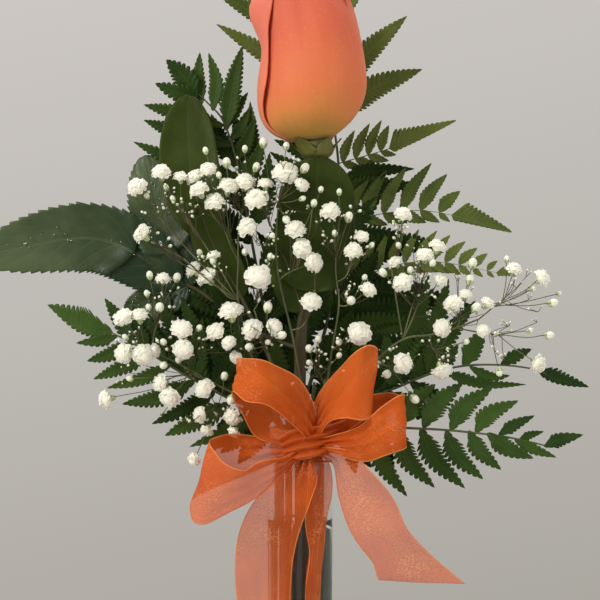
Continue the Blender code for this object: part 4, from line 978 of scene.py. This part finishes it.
def sheet_leaf(shape, leaf, rows, columns, tone, wave, veins, vein_lean, ridges, teeth=0, tooth_depth=0.0,
               fold=0.0):
    """A broad leaf: cupped along its midrib, veined and waved, and toothed or folded if asked.

    Gives the line of its midrib.
    """
    root, middle, tip, half, fullness, cup = leaf
    line = [root, middle, tip]
    net = []
    offset = Vector(root) * 0.05
    for row in range(rows + 1):
        share = row / rows
        centre, forward, side, facing = frame_at(line, share)
        width = leaf_half(share, half, fullness)
        saw = share * teeth % 1.0
        points = []
        for column in range(2 * columns + 1):
            across = column / columns - 1
            out = abs(across)
            rim = out ** 6
            reach = across * width * (1 - tooth_depth * (1 - saw) * rim)
            lean = tooth_depth * width * saw * rim * 0.8
            swell = noise.noise(offset + Vector((across * 1.3, share * 4.0, tone * 9))) * wave
            ridge = math.cos(math.tau * (share * veins - out * vein_lean)) * min(out * 4, 1) * (1 - rim)
            lift = cup * out ** 1.3 * width / half + ridges * ridge + swell * (0.4 + out)
            lift += fold * leaf_fold(share, across, rim)
            points.append((centre + side * reach + facing * lift + forward * lean, (across, share, tone)))
        net.append(points)
    shape.grid(net)
    return line


def midrib(shape, line, radius, steps=14, sink=0.15, slot=0):
    """The raised rib behind a leaf."""
    route = []
    for step in range(steps + 1):
        centre, _, _, facing = frame_at(line, step / steps * 0.97)
        route.append(centre - facing * sink)
    shape.rod(route, [radius * (1 - 0.8 * step / steps) for step in range(steps + 1)], 5, slot=slot)


def blade(shape, line, left, right, profile, lobes, depth, tone, droop=0.0, slot=0):
    """A lobed blade along a line: round lobes that lean forward, over a grooved rib."""
    rows = ROWS_PER_LOBE * lobes
    net = []
    for row in range(rows + 1):
        share = row / rows
        centre, forward, side, facing = frame_at(line, share)
        centre = centre - facing * droop * share * share
        swell = math.sin(math.pi * (row % ROWS_PER_LOBE) / ROWS_PER_LOBE) ** 0.6
        points = []
        for across in (-1.0, -0.5, 0.0, 0.5, 1.0):
            out = abs(across)
            half = max((left if across < 0 else right) * profile(share), 0.06)
            reach = half * (1.0 - depth * (1.0 - swell)) if out == 1.0 else half * out
            lean = LOBE_LEAN * reach * (1.0 - 0.7 * share)
            lift = 0.16 * reach + 0.05 * half * swell * out - (0.08 if across == 0.0 else 0.0)
            spot = centre + side * math.copysign(reach, across) + forward * lean + facing * lift
            points.append((spot, (across, row / ROWS_PER_LOBE / LOBE_VEINS, tone)))
        net.append(points)
    shape.grid(net, slot)


def oblong(share):
    """Outline of a leaflet: a narrow foot, even sides, and a point."""
    return min(1.0, 0.40 + 2.6 * share) * (1.0 - share ** 2.2) ** 0.85


def lance(share):
    """Outline of a small pinna: a stalk, widest a quarter of the way up, tapering evenly to a point."""
    return (0.28 + 0.72 * ease(share / 0.24)) * (1.0 - share ** 2.3) ** 0.88


def reach_at(cut, share):
    """Share of its full reach that a long pinna has somewhere along it."""
    if cut > EVEN_CUT:
        return interpolate(EVEN_REACH, share)
    last = 0.78 - 0.64 * cut
    if share < cut:
        return interpolate(CUT_REACH + [(1, last)], share / cut)
    return last * (1.0 - (share - cut) / (1.0 - cut)) ** 0.8 + 0.02


def leaflet(shape, line, share, hand, size, slant, pitch, number, tone, draw):
    """One leaflet of a long pinna, on its left (hand -1) or right (hand 1)."""
    centre, forward, side, facing = frame_at(line, share)
    size *= draw.uniform(0.96, 1.04) * math.hypot(1.0, slant)
    aim = (side * hand + forward * (slant + draw.uniform(-0.05, 0.05))).normalized()
    half = min(0.41 * pitch * draw.uniform(0.95, 1.08), 0.26 * size)
    foot = centre + side * hand * 0.12 + facing * 0.05 * (number % 2)
    sprout = [foot, foot + aim * size * 0.5 - forward * 0.05 * size,
              foot + aim * size + forward * 0.05 * size]
    shade = tone + draw.uniform(-0.10, 0.10)
    lobes = max(5, int(size / LEAFLET_LOBE_PITCH))
    droop = 0.08 * size * draw.uniform(0.2, 1.4)
    blade(shape, sprout, half, half, oblong, lobes, LEAST_LOBE_DEPTH, shade, droop)


def cut_pinna(shape, line, left, right, cut, count, length, tone, draw):
    """A long pinna: leaflets to both sides, and a lobed blade at its end."""
    widest = max(left, right)
    for number in range(count):
        share = cut * (number + 0.35) / count
        for hand, reach in ((-1, left), (1, right)):
            slant = 0.66 if reach == widest else 1.7
            leaflet(shape, line, share, hand, reach * reach_at(cut, share), slant, cut * length / count,
                    number, tone, draw)
    foot = reach_at(cut, cut)

    def outer(share):
        """Reach of the uncut end, against its foot's."""
        return reach_at(cut, cut + (1 - cut) * share) / foot

    end = [along(line, cut + (1 - cut) * part) for part in (0.0, 0.5, 1.0)]
    lobes = max(4, int((1 - cut) * length / LOBE_PITCH))
    depth = min(0.30, 1.3 / (foot * widest))
    blade(shape, end, foot * left, foot * right, outer, lobes, depth, tone)


def pinna(shape, row, draw, slot=0):
    """One pinna of a frond: a lobed blade, or a cut one where its row counts leaflets."""
    root, middle, tip, left, right, cut, *leaflets = row
    line = [root, middle, tip]
    length = (Vector(middle) - Vector(root)).length + (Vector(tip) - Vector(middle)).length
    tone = draw.uniform(0.1, 0.9)
    midrib(shape, line, 0.28, steps=10, sink=0.10, slot=1)
    if leaflets:
        cut_pinna(shape, line, left, right, cut, leaflets[0], length, tone, draw)
        return
    lobes = max(FEWEST_LOBES, int(length / LOBE_PITCH))
    blade(shape, line, LANCE_SPREAD * left, LANCE_SPREAD * right, lance, lobes,
          LEAST_LOBE_DEPTH + LOBE_DEPTH_BY_CUT * cut, tone, slot=slot)


def stem_route(x, y, foot, above, steps):
    """A stem's route: straight up through the neck, then on its own smooth way."""
    straight = [(x, y, foot), (x, y, 0.5 * (foot + BUNDLE_TOP))]
    return straight + smooth_route([(x, y, BUNDLE_TOP)] + above, steps)


def stem_rod(shape, name, above, steps, tip_share, sides=8, slot=0):
    """The rod of a stem, tapering to its tip."""
    x, y, radius = STEMS[name]
    radii = [radius, radius]
    radii += [radius * (1 - (1 - tip_share) * (step / steps) ** 0.7) for step in range(steps + 1)]
    shape.rod(stem_route(x, y, STEM_FOOT, above, steps), radii, sides, slot)


def fern_surface(name, dark, light, vein, roughness, gloss):
    """A frond's blades, with its lobes' fine side veins."""
    return leaf_surface(name, dark, light, vein, veins=LOBE_VEINS, lean=0.75, roughness=roughness,
                        relief=0.25, gloss=gloss)


def make_fronds():
    """Every leatherleaf frond."""
    fresh = fern_surface("fern blade", (0.012, 0.034, 0.004), (0.048, 0.096, 0.013), (0.05, 0.09, 0.02),
                         roughness=0.5, gloss=0.15)
    pale = fern_surface("fern blade pale", (0.036, 0.062, 0.008), (0.135, 0.175, 0.036), (0.14, 0.17, 0.05),
                        roughness=0.5, gloss=0.15)
    # Painted shade: the pinnae low down and behind get this darker green in place of shadow.
    shade_painted_blade = fern_surface("fern blade painted shade", (0.008, 0.022, 0.003), (0.036, 0.068, 0.010), (0.04, 0.06, 0.015),
                       roughness=0.55, gloss=0.1)
    rib = stem_surface("fern rachis", (0.035, 0.050, 0.015), (0.090, 0.110, 0.040))
    for name, (rachis, pinnae, low_pinnae) in FRONDS.items():
        draw = random.Random(name)
        shape = Shape()
        stem_rod(shape, name, rachis, 5 * len(rachis), tip_share=0.28, slot=1)
        for row in pinnae:
            pinna(shape, row, draw)
        for row in low_pinnae:
            pinna(shape, row, draw, slot=2)
        # By slot: the pinnae, the ribs and the low pinnae, whose darker green is painted shade.
        item = shape.build(name + "_leaf", [pale if name == "fern_back" else fresh, rib, shade_painted_blade])
        place_piece(item, name)


def make_lemon_leaves():
    """The smooth broad leaves on their brown stems."""
    green = leaf_surface("lemon leaf", (0.016, 0.029, 0.002), (0.044, 0.067, 0.006), (0.040, 0.058, 0.008),
                         veins=7.0, lean=2.2, roughness=0.5, relief=0.12, gloss=0.15)
    wood = stem_surface("brown stem", (0.060, 0.050, 0.022), (0.120, 0.095, 0.045))
    for name, (above, leaves) in LEMON_LEAVES.items():
        draw = random.Random(name)
        shape = Shape()
        stem_rod(shape, name, above, 5 * len(above), tip_share=0.6, slot=1)
        for leaf in leaves:
            line = sheet_leaf(shape, leaf, rows=44, columns=12, tone=draw.uniform(0.2, 0.7), wave=1.2,
                              veins=7, vein_lean=2.2, ridges=0.03)
            midrib(shape, line, 0.7, slot=1)
        place_piece(shape.build(name + "_leaf", [green, wood]), name)


# ---------------------------------------------------------------- rose

def bloom_place():
    """The bloom's leaning upright frame: X to the right, Z up its axis."""
    base = Vector(BLOOM_BASE)
    axis = (Vector(BLOOM_TOP) - base).normalized()
    right = (-FRONT).cross(axis).normalized()
    return axes_at(base, right, axis.cross(right), axis)


def bloom_reach(rise, angle):
    """How far the bloom's outline stands from its axis, at a height and an angle from the front."""
    left, right = rounded(BLOOM_LEFT, rise, 2.5), rounded(BLOOM_RIGHT, rise, 2.5)
    return 0.5 * (left + right) + 0.5 * (right - left) * math.sin(angle)


def petal_bend(number, side, v, z, rim, flare):
    """How far a petal bends out from the outline; side is degrees from the front, v the share up it."""
    if number == LEFT_PETAL:
        lean_away = ease((z - 42) / 19) * ease((-side - 50) / 34)
        return flare * (lean_away - 0.75 * ease((z - 62) / 8))
    bend = flare * rim * rim
    if number == FRONT_PETAL:
        crease = 1.1 * bell(side + 3, 12) * ease((v - 0.45) / 0.35)
        fullness = 1.0 * bell(side + 28, 12) * ease((v - 0.74) / 0.20)
        tucked_edge = 2.3 * ease((-side - 38) / 24) * min(1.0, 3 * v)
        bend += fullness - crease - tucked_edge
    return bend


def petal(shape, place, row, number):
    """One petal: part of a whorl's wall, narrow at its foot, its rim waved and rolled outwards."""
    share, height, left_edge, right_edge, flare, roll, tone = row
    wound = WOUND_EDGES if share < WOUND_SHARE else 0.0
    edge_roll = 0.0 if number == LEFT_PETAL else EDGE_ROLL
    net = []
    for up in range(PETAL_ROWS + 1):
        v = up / PETAL_ROWS
        start, end = [math.radians(rounded(edge, v, 0.06)) for edge in (left_edge, right_edge)]
        rim = ease((v - 0.78) / 0.22)
        points = []
        for column in range(PETAL_COLUMNS + 1):
            u = 2 * column / PETAL_COLUMNS - 1
            angle = start + (end - start) * column / PETAL_COLUMNS
            seed = Vector((u * 1.4, v * 1.3, number * 3.7 + 0.4))
            wave = noise.noise(seed)
            fine = noise.noise(seed * 3.1)
            corner = ease((abs(u) - 0.55) / 0.45)
            z = height * v * (1 - 0.07 * corner * v * v) + 1.2 + rim * (1.3 * wave + 0.7 * fine)
            radius = share * bloom_reach(z, angle) + wound * u * min(1.0, 3 * v)
            radius += petal_bend(number, math.degrees(angle), v, z, rim, flare) + roll * rim ** 3
            radius += (0.5 * wave + 0.25 * fine) * v
            radius += edge_roll * ease((abs(u) - 0.86) / 0.14) * min(1.0, 2.5 * v)
            z -= 0.5 * roll * max(0.0, (v - 0.93) / 0.07) ** 2
            points.append((place @ round_spot(radius, angle, z), (u, v, tone)))
        net.append(points)
    shape.grid(net)


def make_bloom():
    """The bloom: broad outer petals, then closer whorls round a rolled heart."""
    shape = Shape()
    place = bloom_place()
    rows = list(OUTER_PETALS)
    for count, share, height, first, half in INNER_WHORLS:
        for number in range(count):
            angle = first + 360.0 * number / count
            edges = [[(0, angle + 0.7 * span), (0.5, angle + span), (1, angle + 0.9 * span)]
                     for span in (-half, half)]
            # Inner whorls take a low tone, which paints them darker as shade.
            rows.append((share, height - 1.2 * (number % 2), *edges, 0.4, 0.5, 0.55))
    for number, row in enumerate(rows):
        petal(shape, place, row, number)
    shape.turned(place, HEART, 24, tone=0.3, slot=1)
    inside = mottled_surface("rose heart", (0.55, 0.12, 0.05), 0.6, (200.0,), (0.45, 0.08, 0.03),
                             (0.65, 0.18, 0.08))
    item = shape.build("rose_petals", [petal_surface(), inside], PETAL_THICK)
    place_piece(item, "rose_bloom")


def sepal(shape, place, angle, growth, tone):
    """One sepal: a pointed green blade that hugs the foot of the bloom, its tip turned out."""
    steps = 14
    low = Vector(SEPAL_RISE[0])
    net = []
    for up in range(steps + 1):
        share = up / steps
        high = along(SEPAL_RISE, share)
        height = low.x + growth * (high.x - low.x)
        radius = low.y + growth * (high.y - low.y)
        half = high.z * (1.0 + 0.10 * math.sin(share * 20.0))
        points = []
        for column in range(-4, 5):
            across = column / 4
            turn = math.radians(angle) + half * across
            reach = radius + 0.5 * abs(across) * share
            points.append((place @ round_spot(reach, turn, height), (across, share, tone)))
        net.append(points)
    shape.grid(net, slot=3)


def water_drops(shape, line, half, draw):
    """Water drops lying on a leaf, most of them to one side of its midrib."""
    dome = [(1.0, 0.0), (0.92, 0.35), (0.6, 0.62), (0.0, 0.72)]
    for _ in range(DROPS):
        share = draw.choice(DROP_SHARES) + draw.gauss(0, 0.05)
        centre, forward, side, facing = frame_at(line, share)
        spot = centre + side * draw.uniform(-0.1, 0.7) * half + facing * 0.9
        size = draw.uniform(0.2, 0.6)
        profile = [(0.0, -0.1)] + [(radius * size, height * size) for radius, height in dome]
        shape.turned(axes_at(spot, side, -forward, facing), profile, 12, slot=2)


def make_rose_stem():
    """The rose's stem with its hip and sepals, and its own leaf of finely toothed leaflets."""
    shape = Shape()
    place = bloom_place()
    stem_rod(shape, "rose", ROSE_STEM, 24, tip_share=0.85, sides=12, slot=4)
    shape.turned(place, HIP, 28, slot=1)
    for number, (angle, growth) in enumerate(SEPALS):
        sepal(shape, place, angle, growth, 0.2 * number)
    route = smooth_route(ROSE_PETIOLE, 16)
    shape.rod(route, [PETIOLE_RADIUS - 0.02 * step for step in range(len(route))], 8, slot=4)
    draw = random.Random(SEED)
    for leaf in ROSE_LEAFLETS:
        line = sheet_leaf(shape, leaf, rows=4 * LEAF_TEETH, columns=9, tone=draw.uniform(0.3, 0.6), wave=1.6,
                          veins=9, vein_lean=2.4, ridges=0.10, teeth=LEAF_TEETH, tooth_depth=0.10, fold=2.2)
        midrib(shape, line, 0.5, sink=0.5)
        water_drops(shape, line, leaf[3], draw)
    green = leaf_surface("rose leaf", (0.012, 0.032, 0.010), (0.072, 0.102, 0.042), (0.08, 0.11, 0.05),
                         veins=9.0, lean=2.4, roughness=0.38, relief=0.5, gloss=0.3, fade=1.0)
    hip = stem_surface("rose hip", (0.115, 0.125, 0.030), (0.210, 0.210, 0.070))
    calyx = leaf_surface("sepal", (0.085, 0.090, 0.016), (0.180, 0.175, 0.045), (0.20, 0.20, 0.07),
                         veins=2.0, lean=0.6, roughness=0.5, relief=0.3, gloss=0.2)
    bark = stem_surface("rose stem", (0.045, 0.042, 0.014), (0.105, 0.085, 0.034))
    dew = mottled_surface("dew", (0.95, 0.97, 0.98), 0.02, (300.0,), (0.96, 0.98, 0.99), (0.92, 0.95, 0.96),
                          specular_ior_level=0.8, transmission_weight=1.0)
    # By slot: the leaf, the hip, the water drops, the sepals and the stems.
    item = shape.build("rose_stem_and_leaf", [green, hip, dew, calyx, bark])
    place_piece(item, "rose_stem")


# ---------------------------------------------------------------- baby's breath

def ruffle(shape, place, length, tilt, turn, width, tone, draw):
    """One notched petal of a floret, cupped inwards and ruffled at its rim."""
    out_way = Vector((math.cos(turn), math.sin(turn), 0.0))
    wide_way = Vector((-math.sin(turn), math.cos(turn), 0.0))
    phase = draw.uniform(0, math.tau)
    rows = 4
    net = []
    for up in range(rows + 1):
        v = up / rows
        half = width * (0.25 + 0.75 * ease(1.4 * v))
        bent = tilt * (0.70 + 0.42 * v)
        points = []
        for column in range(-2, 3):
            u = column / 2
            notch = 0.10 * length if up == rows and column == 0 else 0.0
            reach = length * v * (1 - 0.13 * u * u * v) - notch
            wave = 0.12 * length * v * v * math.sin(phase + 2.8 * u) - 0.10 * length * u * u
            rise = reach * math.cos(bent) - wave * math.sin(bent)
            out = reach * math.sin(bent) + wave * math.cos(bent) + 0.04 * length
            spot = out_way * out + wide_way * half * u + Vector((0.0, 0.0, rise))
            points.append((place @ spot, (u, v, tone)))
        net.append(points)
    shape.grid(net)


def floret(shape, place, size, draw):
    """An open floret: layers of ruffled petals out of a striped calyx."""
    radius = 0.53 * size
    foot = place @ Matrix.Translation((0, 0, -0.55 * radius))
    for count, length, tilt in FLORET_LAYERS:
        first = draw.uniform(0, math.tau)
        for number in range(count):
            turn = first + math.tau * number / count + draw.uniform(-0.2, 0.2)
            long = length * radius * draw.uniform(0.88, 1.08)
            ruffle(shape, foot, long, tilt + draw.uniform(-0.15, 0.12), turn,
                   radius * draw.uniform(0.36, 0.48), draw.uniform(0, 0.8), draw)
    shape.turned(place, FLORET_CORE, 20, slot=3, size=radius, ribs=0.05, rib_count=7)
    shape.turned(place, FLORET_CUP, 10, slot=1, size=radius)


def bud(shape, place, size):
    """A closed bud: white, held in its striped calyx."""
    shape.turned(place, BUD_WHITE, 10, slot=2, size=size / 2)
    shape.turned(place, BUD_CUP, 10, slot=1, size=size / 2)


def add_sprigs(twigs, heads, leave, fork, spots, draw):
    """Hair-thin sprigs with tiny buds, among the heads that one branch carries."""
    middle = sum((Vector(spot[:3]) for spot in spots), Vector()) / len(spots)
    spread = max((Vector(spot[:3]) - middle).length for spot in spots) + 3.0
    for _ in range(SPRIGS):
        start = leave.lerp(fork, draw.uniform(0.55, 1.0))
        aim = Vector((draw.gauss(0, 1), 0.7 * draw.gauss(0, 1), draw.gauss(0, 1))).normalized()
        end = middle.lerp(start, draw.uniform(0.1, 0.6)) + aim * spread * draw.uniform(0.2, 0.8)
        end.y = min(max(end.y, -30.0), 6.0)
        bow = start.lerp(end, 0.5) + Vector((draw.uniform(-1.5, 1.5), 0.0, draw.uniform(-2.0, 0.5)))
        twigs.rod(smooth_route([start, bow, end], 6), 0.15, 5, slot=1)
        for _ in range(2):
            tip = end + Vector((draw.gauss(0, 1.8), draw.gauss(0, 1.2), draw.uniform(0.5, 3.2)))
            twigs.rod([end, tip], 0.13, 5, slot=1)
            bud(heads, aimed(tip, tip - end), draw.uniform(0.6, 1.7))


def add_head(twigs, heads, leave, head, draw):
    """One stalk with its open floret or its bud."""
    x, y, z, size = head
    centre = Vector((x, y, z))
    stalk = centre - leave
    bow = leave.lerp(centre, 0.5) + 0.06 * stalk.length * Vector((
        draw.uniform(-1, 1), 0.3, draw.uniform(-1, 0.2)))
    twigs.rod(smooth_route([leave, bow, centre - stalk.normalized() * 0.5 * size], 6), 0.20, 5)
    aim = (stalk.normalized() * 1.5 + FRONT * draw.uniform(-0.1, 0.9)
           + Vector((0, 0, draw.uniform(0.0, 0.5)))).normalized()
    if size >= OPEN_SIZE:
        floret(heads, aimed(centre, aim), size, draw)
    else:
        bud(heads, aimed(centre, aim), size)


def spare_stems(shape, draw):
    """Thin stems in the free room between the others, up the neck and out over its rim."""
    taken = list(STEMS.values())
    wanted = len(taken) + SPARE_STEMS
    for _ in range(SPARE_TRIES):
        x, y = draw.uniform(-SPARE_ROOM, SPARE_ROOM), draw.uniform(-SPARE_ROOM, SPARE_ROOM)
        if math.hypot(x, y) > SPARE_ROOM or len(taken) == wanted:
            continue
        if all(math.hypot(x - a, y - b) > radius + SPARE_RADIUS + 0.2 for a, b, radius in taken):
            taken.append((x, y, SPARE_RADIUS))
            foot = STEM_FOOT + draw.uniform(1.0, 30.0)
            above = [(x * 1.15, y * 1.1, BUNDLE_TOP + 8),
                     (x * 1.6, y * 1.3, SPARE_TOP + draw.uniform(-8.0, 8.0))]
            shape.rod(stem_route(x, y, foot, above, 8), SPARE_RADIUS, 6)


def make_sprays():
    """Every spray: its thin stems and stalks, and its florets and buds."""
    # By slot: a floret's petals, the calyces, the buds and a floret's heart.
    flower = [floret_surface(),
              striped_surface("floret calyx", (0.25, 0.34, 0.12), 0.6, (0.1, 0.4), (0.22, 0.31, 0.11),
                              (0.60, 0.66, 0.42)),
              striped_surface("bud white", (0.86, 0.88, 0.78), 0.5, (0.0, 0.12), (0.56, 0.62, 0.38),
                              (0.88, 0.89, 0.76)),
              mottled_surface("floret heart", (0.90, 0.88, 0.74), 0.7, (900.0,), (0.86, 0.84, 0.66),
                              (0.95, 0.94, 0.84), specular_ior_level=0.15)]
    thin = stem_surface("thin stem", (0.050, 0.060, 0.020), (0.150, 0.160, 0.065))
    dry = stem_surface("dry twig", (0.030, 0.018, 0.008), (0.110, 0.085, 0.035))
    for name, (above, branches) in SPRAYS.items():
        draw = random.Random(name)
        twigs = Shape()
        heads = Shape()
        stem_rod(twigs, name, above, 6 * len(above), tip_share=0.42, sides=7)
        if name == "babys_breath_centre":
            spare_stems(twigs, random.Random(SEED))
        for start, fork, spots in branches:
            leave = Vector(above[start])
            fork = Vector(fork)
            middle = leave.lerp(fork, 0.5) + Vector((draw.uniform(-1, 1), 0, draw.uniform(-1.2, 0.4)))
            twigs.rod(smooth_route([leave, middle, fork], 8), 0.32, 6)
            add_sprigs(twigs, heads, leave, fork, spots, draw)
            for number, head in enumerate(spots):
                add_head(twigs, heads, fork.lerp(leave, 0.08 * number), head, draw)
        place_piece(twigs.build(name + "_stems", [thin, dry]), name)
        item = heads.build(name + "_florets", flower, FLORET_THICK)
        place_piece(item, name)


# ---------------------------------------------------------------- ribbon

def run_length(edges):
    """Mean length of a run of ribbon's two edges."""
    total = 0.0
    for edge in edges:
        route = smooth_route(edge, 40)
        total += sum((b - a).length for a, b in zip(route, route[1:]))
    return total / 2


def run_ripple(t, at, free, pleat, number):
    """How far the cloth stands out of its plane: in pleats, in soft dents and in one slow wave."""
    pleats = pleat * math.sin(math.tau * PLEATS * t + number)
    dents = 0.9 * noise.noise(Vector((t * 2.2, at / 14.0, number * 5.3))) * min(1.0, free / 12.0)
    wave = 0.5 * math.sin(math.tau * (at / 26.0 + 0.5 * t)) * min(1.0, free / 15.0)
    return pleats + dents + wave


def make_run(name, edges, cloths, number):
    """One run of ribbon, pleated where it is gathered and rippled along its length."""
    left, right = edges
    hung = name.startswith("tail")
    loop = not hung and name != "fold"
    kept = LOOP_PLEAT if loop else TAIL_PLEAT
    length = run_length(edges)
    net = []
    for up in range(RUN_ROWS + 1):
        share = up / RUN_ROWS
        at = share * length
        a, b = along(left, share), along(right, share)
        cross = b - a
        face = cross.cross(heading(left, share) + heading(right, share)).normalized()
        # How far it is to the gather. A loop comes back to it, and the short fold lies all in it.
        free = at if hung else 0.0
        if loop:
            free = min(at, length - at)
        # The cut is as wide all along, so where the run is narrower part of the rest goes into pleats.
        spare = math.sqrt(max(0.0, RIBBON_WIDTH ** 2 - cross.length_squared))
        pleat = (kept + (1 - kept) * math.exp(-free / PLEAT_FADE)) * spare / (4 * PLEATS)
        points = []
        for column in range(RUN_COLUMNS + 1):
            t = column / RUN_COLUMNS
            spot = a + cross * t + face * run_ripple(t, at, free, pleat, number)
            points.append((spot, (t, share, at / WEFT_PITCH)))
        net.append(points)
    shape = Shape()
    shape.grid(net)
    held = "hung" if hung else "gathered"
    item = place_piece(shape.build("ribbon_" + name, [cloths[held]], ORGANZA_THICK), "bow")


def make_knot(dense):
    """The bow's gather: an egg of folds."""
    x, y, z = KNOT_SIZE
    place = Matrix.Translation(Vector(BOW_CENTRE))
    rows = []
    for up in range(1, KNOT_ROWS):
        rise = math.pi * up / KNOT_ROWS
        row = []
        for part, turn in turns(KNOT_SIDES):
            fold = 1 + 0.07 * math.sin(9 * turn + 2 * math.sin(rise * 2)) * math.sin(rise)
            spot = Vector((x * math.sin(rise) * math.cos(turn) * fold,
                           y * math.sin(rise) * math.sin(turn) * fold, -z * math.cos(rise)))
            row.append((place @ spot, (part, up / KNOT_ROWS, 0.5)))
        rows.append(row)
    shape = Shape()
    shape.rings(rows)
    place_piece(shape.build("ribbon_knot", [dense]), "bow")


def make_band(dense):
    """The ribbon round the stems, which carries the bow."""
    net = []
    for up in range(BAND_ROWS + 1):
        share = up / BAND_ROWS
        points = []
        for step in range(BAND_STEPS + 1):
            turn = math.tau * step / BAND_STEPS
            radius = BAND_MIDDLE + 0.55 * math.sin(math.tau * 4 * share + 1.5 * math.sin(turn * 3))
            z = BAND_BOTTOM + share * (BAND_TOP - BAND_BOTTOM) + 0.3 * math.sin(4 * turn)
            points.append((round_spot(radius, turn, z), (share, step / BAND_STEPS, float(step))))
        net.append(points)
    shape = Shape()
    shape.grid(net)
    item = place_piece(shape.build("ribbon_band", [dense], BAND_THICK), "bow_band")


def make_bow():
    """The bow's knot, its loops and tails, and the band round the stems."""
    cloths = {"gathered": organza_surface("loop organza", ground=0.42, glitter=0.5),
              "hung": organza_surface("tail organza", ground=0.33, glitter=1.0)}
    dense = gathered_surface()
    make_knot(dense)
    for number, (name, edges) in enumerate(BOW_RUNS.items()):
        make_run(name, edges, cloths, number)
    make_band(dense)


# ---------------------------------------------------------------- vase and water

def smooth_profile(profile):
    """A profile of (radius, z) made smooth, with five steps between its points."""
    route = smooth_route([(radius, 0.0, z) for radius, z in profile], 5 * (len(profile) - 1))
    return [(spot.x, spot.z) for spot in route]


def make_turned(name, node, surface, profile):
    """A turned piece on the vase's own axis."""
    shape = Shape()
    shape.turned(Matrix(), profile, VASE_SIDES)
    place_piece(shape.build(name, [surface]), node)


def make_vase():
    """The glass, and the water standing in it."""
    bore = smooth_profile([(interpolate(VASE_BORE, z), z) for z in VASE_LEVELS])
    rim = [(NECK_RADIUS, VASE_HEIGHT - 0.8), (NECK_RADIUS - 0.3, VASE_HEIGHT - 0.2),
           (NECK_RADIUS - 1.1, VASE_HEIGHT), (NECK_RADIUS - 1.8, VASE_HEIGHT - 0.2),
           (BORE_RADIUS, VASE_HEIGHT - 0.8)]
    body = [(0.0, 0.0)] + smooth_profile(VASE_OUTSIDE) + rim + bore[::-1] + [(0.0, 9.0)]
    make_turned("vase_glass", "bud_vase",
                clear_surface("clear glass", (0.965, 0.985, 0.98), refraction=1.45), body)
    # The water overlaps the glass a little, so that no air shows between them.
    overlap = 0.15
    pool = [(0.0, 8.9)] + [(radius + overlap, z) for radius, z in bore if z <= WATER_LEVEL - 1]
    pool += [(BORE_RADIUS + overlap, WATER_LEVEL), (BORE_RADIUS - 0.8, WATER_LEVEL - 0.9),
             (0.0, WATER_LEVEL - 1)]
    make_turned("vase_water", "water",
                clear_surface("water", (0.975, 0.99, 0.985), refraction=1.33), pool)


# ---------------------------------------------------------------- stage

def area_light(name, place, power, size, colour):
    """A soft light aimed at the arrangement."""
    data = bpy.data.lights.new(name, "AREA")
    data.energy = power
    data.size = size
    data.color = colour
    lamp = bpy.data.objects.new(name, data)
    place = Vector(place)
    lamp.matrix_world = aimed(place, Vector((0.0, 0.0, 0.27)) - place, "-Z")
    bpy.context.scene.collection.objects.link(lamp)


def make_floor():
    """A pale round floor."""
    mesh = bpy.data.meshes.new("floor")
    work = bmesh.new()
    bmesh.ops.create_circle(work, cap_ends=True, segments=96, radius=0.6,
                            matrix=Matrix.Translation((0, 0, -0.0005)))
    work.to_mesh(mesh)
    work.free()
    mesh.materials.append(mottled_surface("floor", (0.62, 0.60, 0.57), 0.8, (8.0,), (0.60, 0.58, 0.55),
                                          (0.64, 0.62, 0.59)))
    floor = bpy.data.objects.new("floor", mesh)
    bpy.context.scene.collection.objects.link(floor)


def make_surround():
    """A plain grey surround, lighter high up and to the left."""
    world = bpy.data.worlds.new("surround")
    world.use_nodes = True
    tree = Tree(world.node_tree)
    x, _, z = tree.split(tree.place("Generated"))
    slope = (x * 0.2 - z).scaled(-0.25, 0.25)
    shade = tree.ramp(slope, [(0.0, (0.600, 0.570, 0.540)), (1.0, (0.410, 0.393, 0.355))])
    tree.feed(tree.nodes["Background"].inputs[0], shade)
    bpy.context.scene.world = world


def make_camera():
    """The camera, square to the arrangement's face."""
    lens = bpy.data.cameras.new("camera")
    lens.lens = CAMERA_LENS
    lens.sensor_width = 36.0
    lens.clip_start = 0.01
    eye = bpy.data.objects.new("camera", lens)
    eye.location = (0.0, -CAMERA_DISTANCE * MM, CAMERA_HEIGHT * MM)
    eye.rotation_euler = (math.radians(90.0), 0.0, 0.0)
    bpy.context.scene.collection.objects.link(eye)
    bpy.context.scene.camera = eye


def make_stage():
    """The floor and the surround, soft lights and the camera."""
    make_floor()
    make_surround()
    area_light("key", (-0.75, -0.75, 0.85), power=9.0, size=0.5, colour=(1.0, 0.98, 0.95))
    area_light("fill", (0.9, -0.6, 0.35), power=2.4, size=0.6, colour=(0.96, 0.98, 1.0))
    area_light("top", (0.1, 0.2, 1.2), power=4.0, size=0.5, colour=(1.0, 1.0, 1.0))
    make_camera()
    bpy.context.scene.view_settings.view_transform = "Standard"


def main():
    """Every piece, then the stage."""
    make_vase()
    make_bow()
    make_bloom()
    make_rose_stem()
    make_lemon_leaves()
    make_fronds()
    make_sprays()
    make_stage()


main()
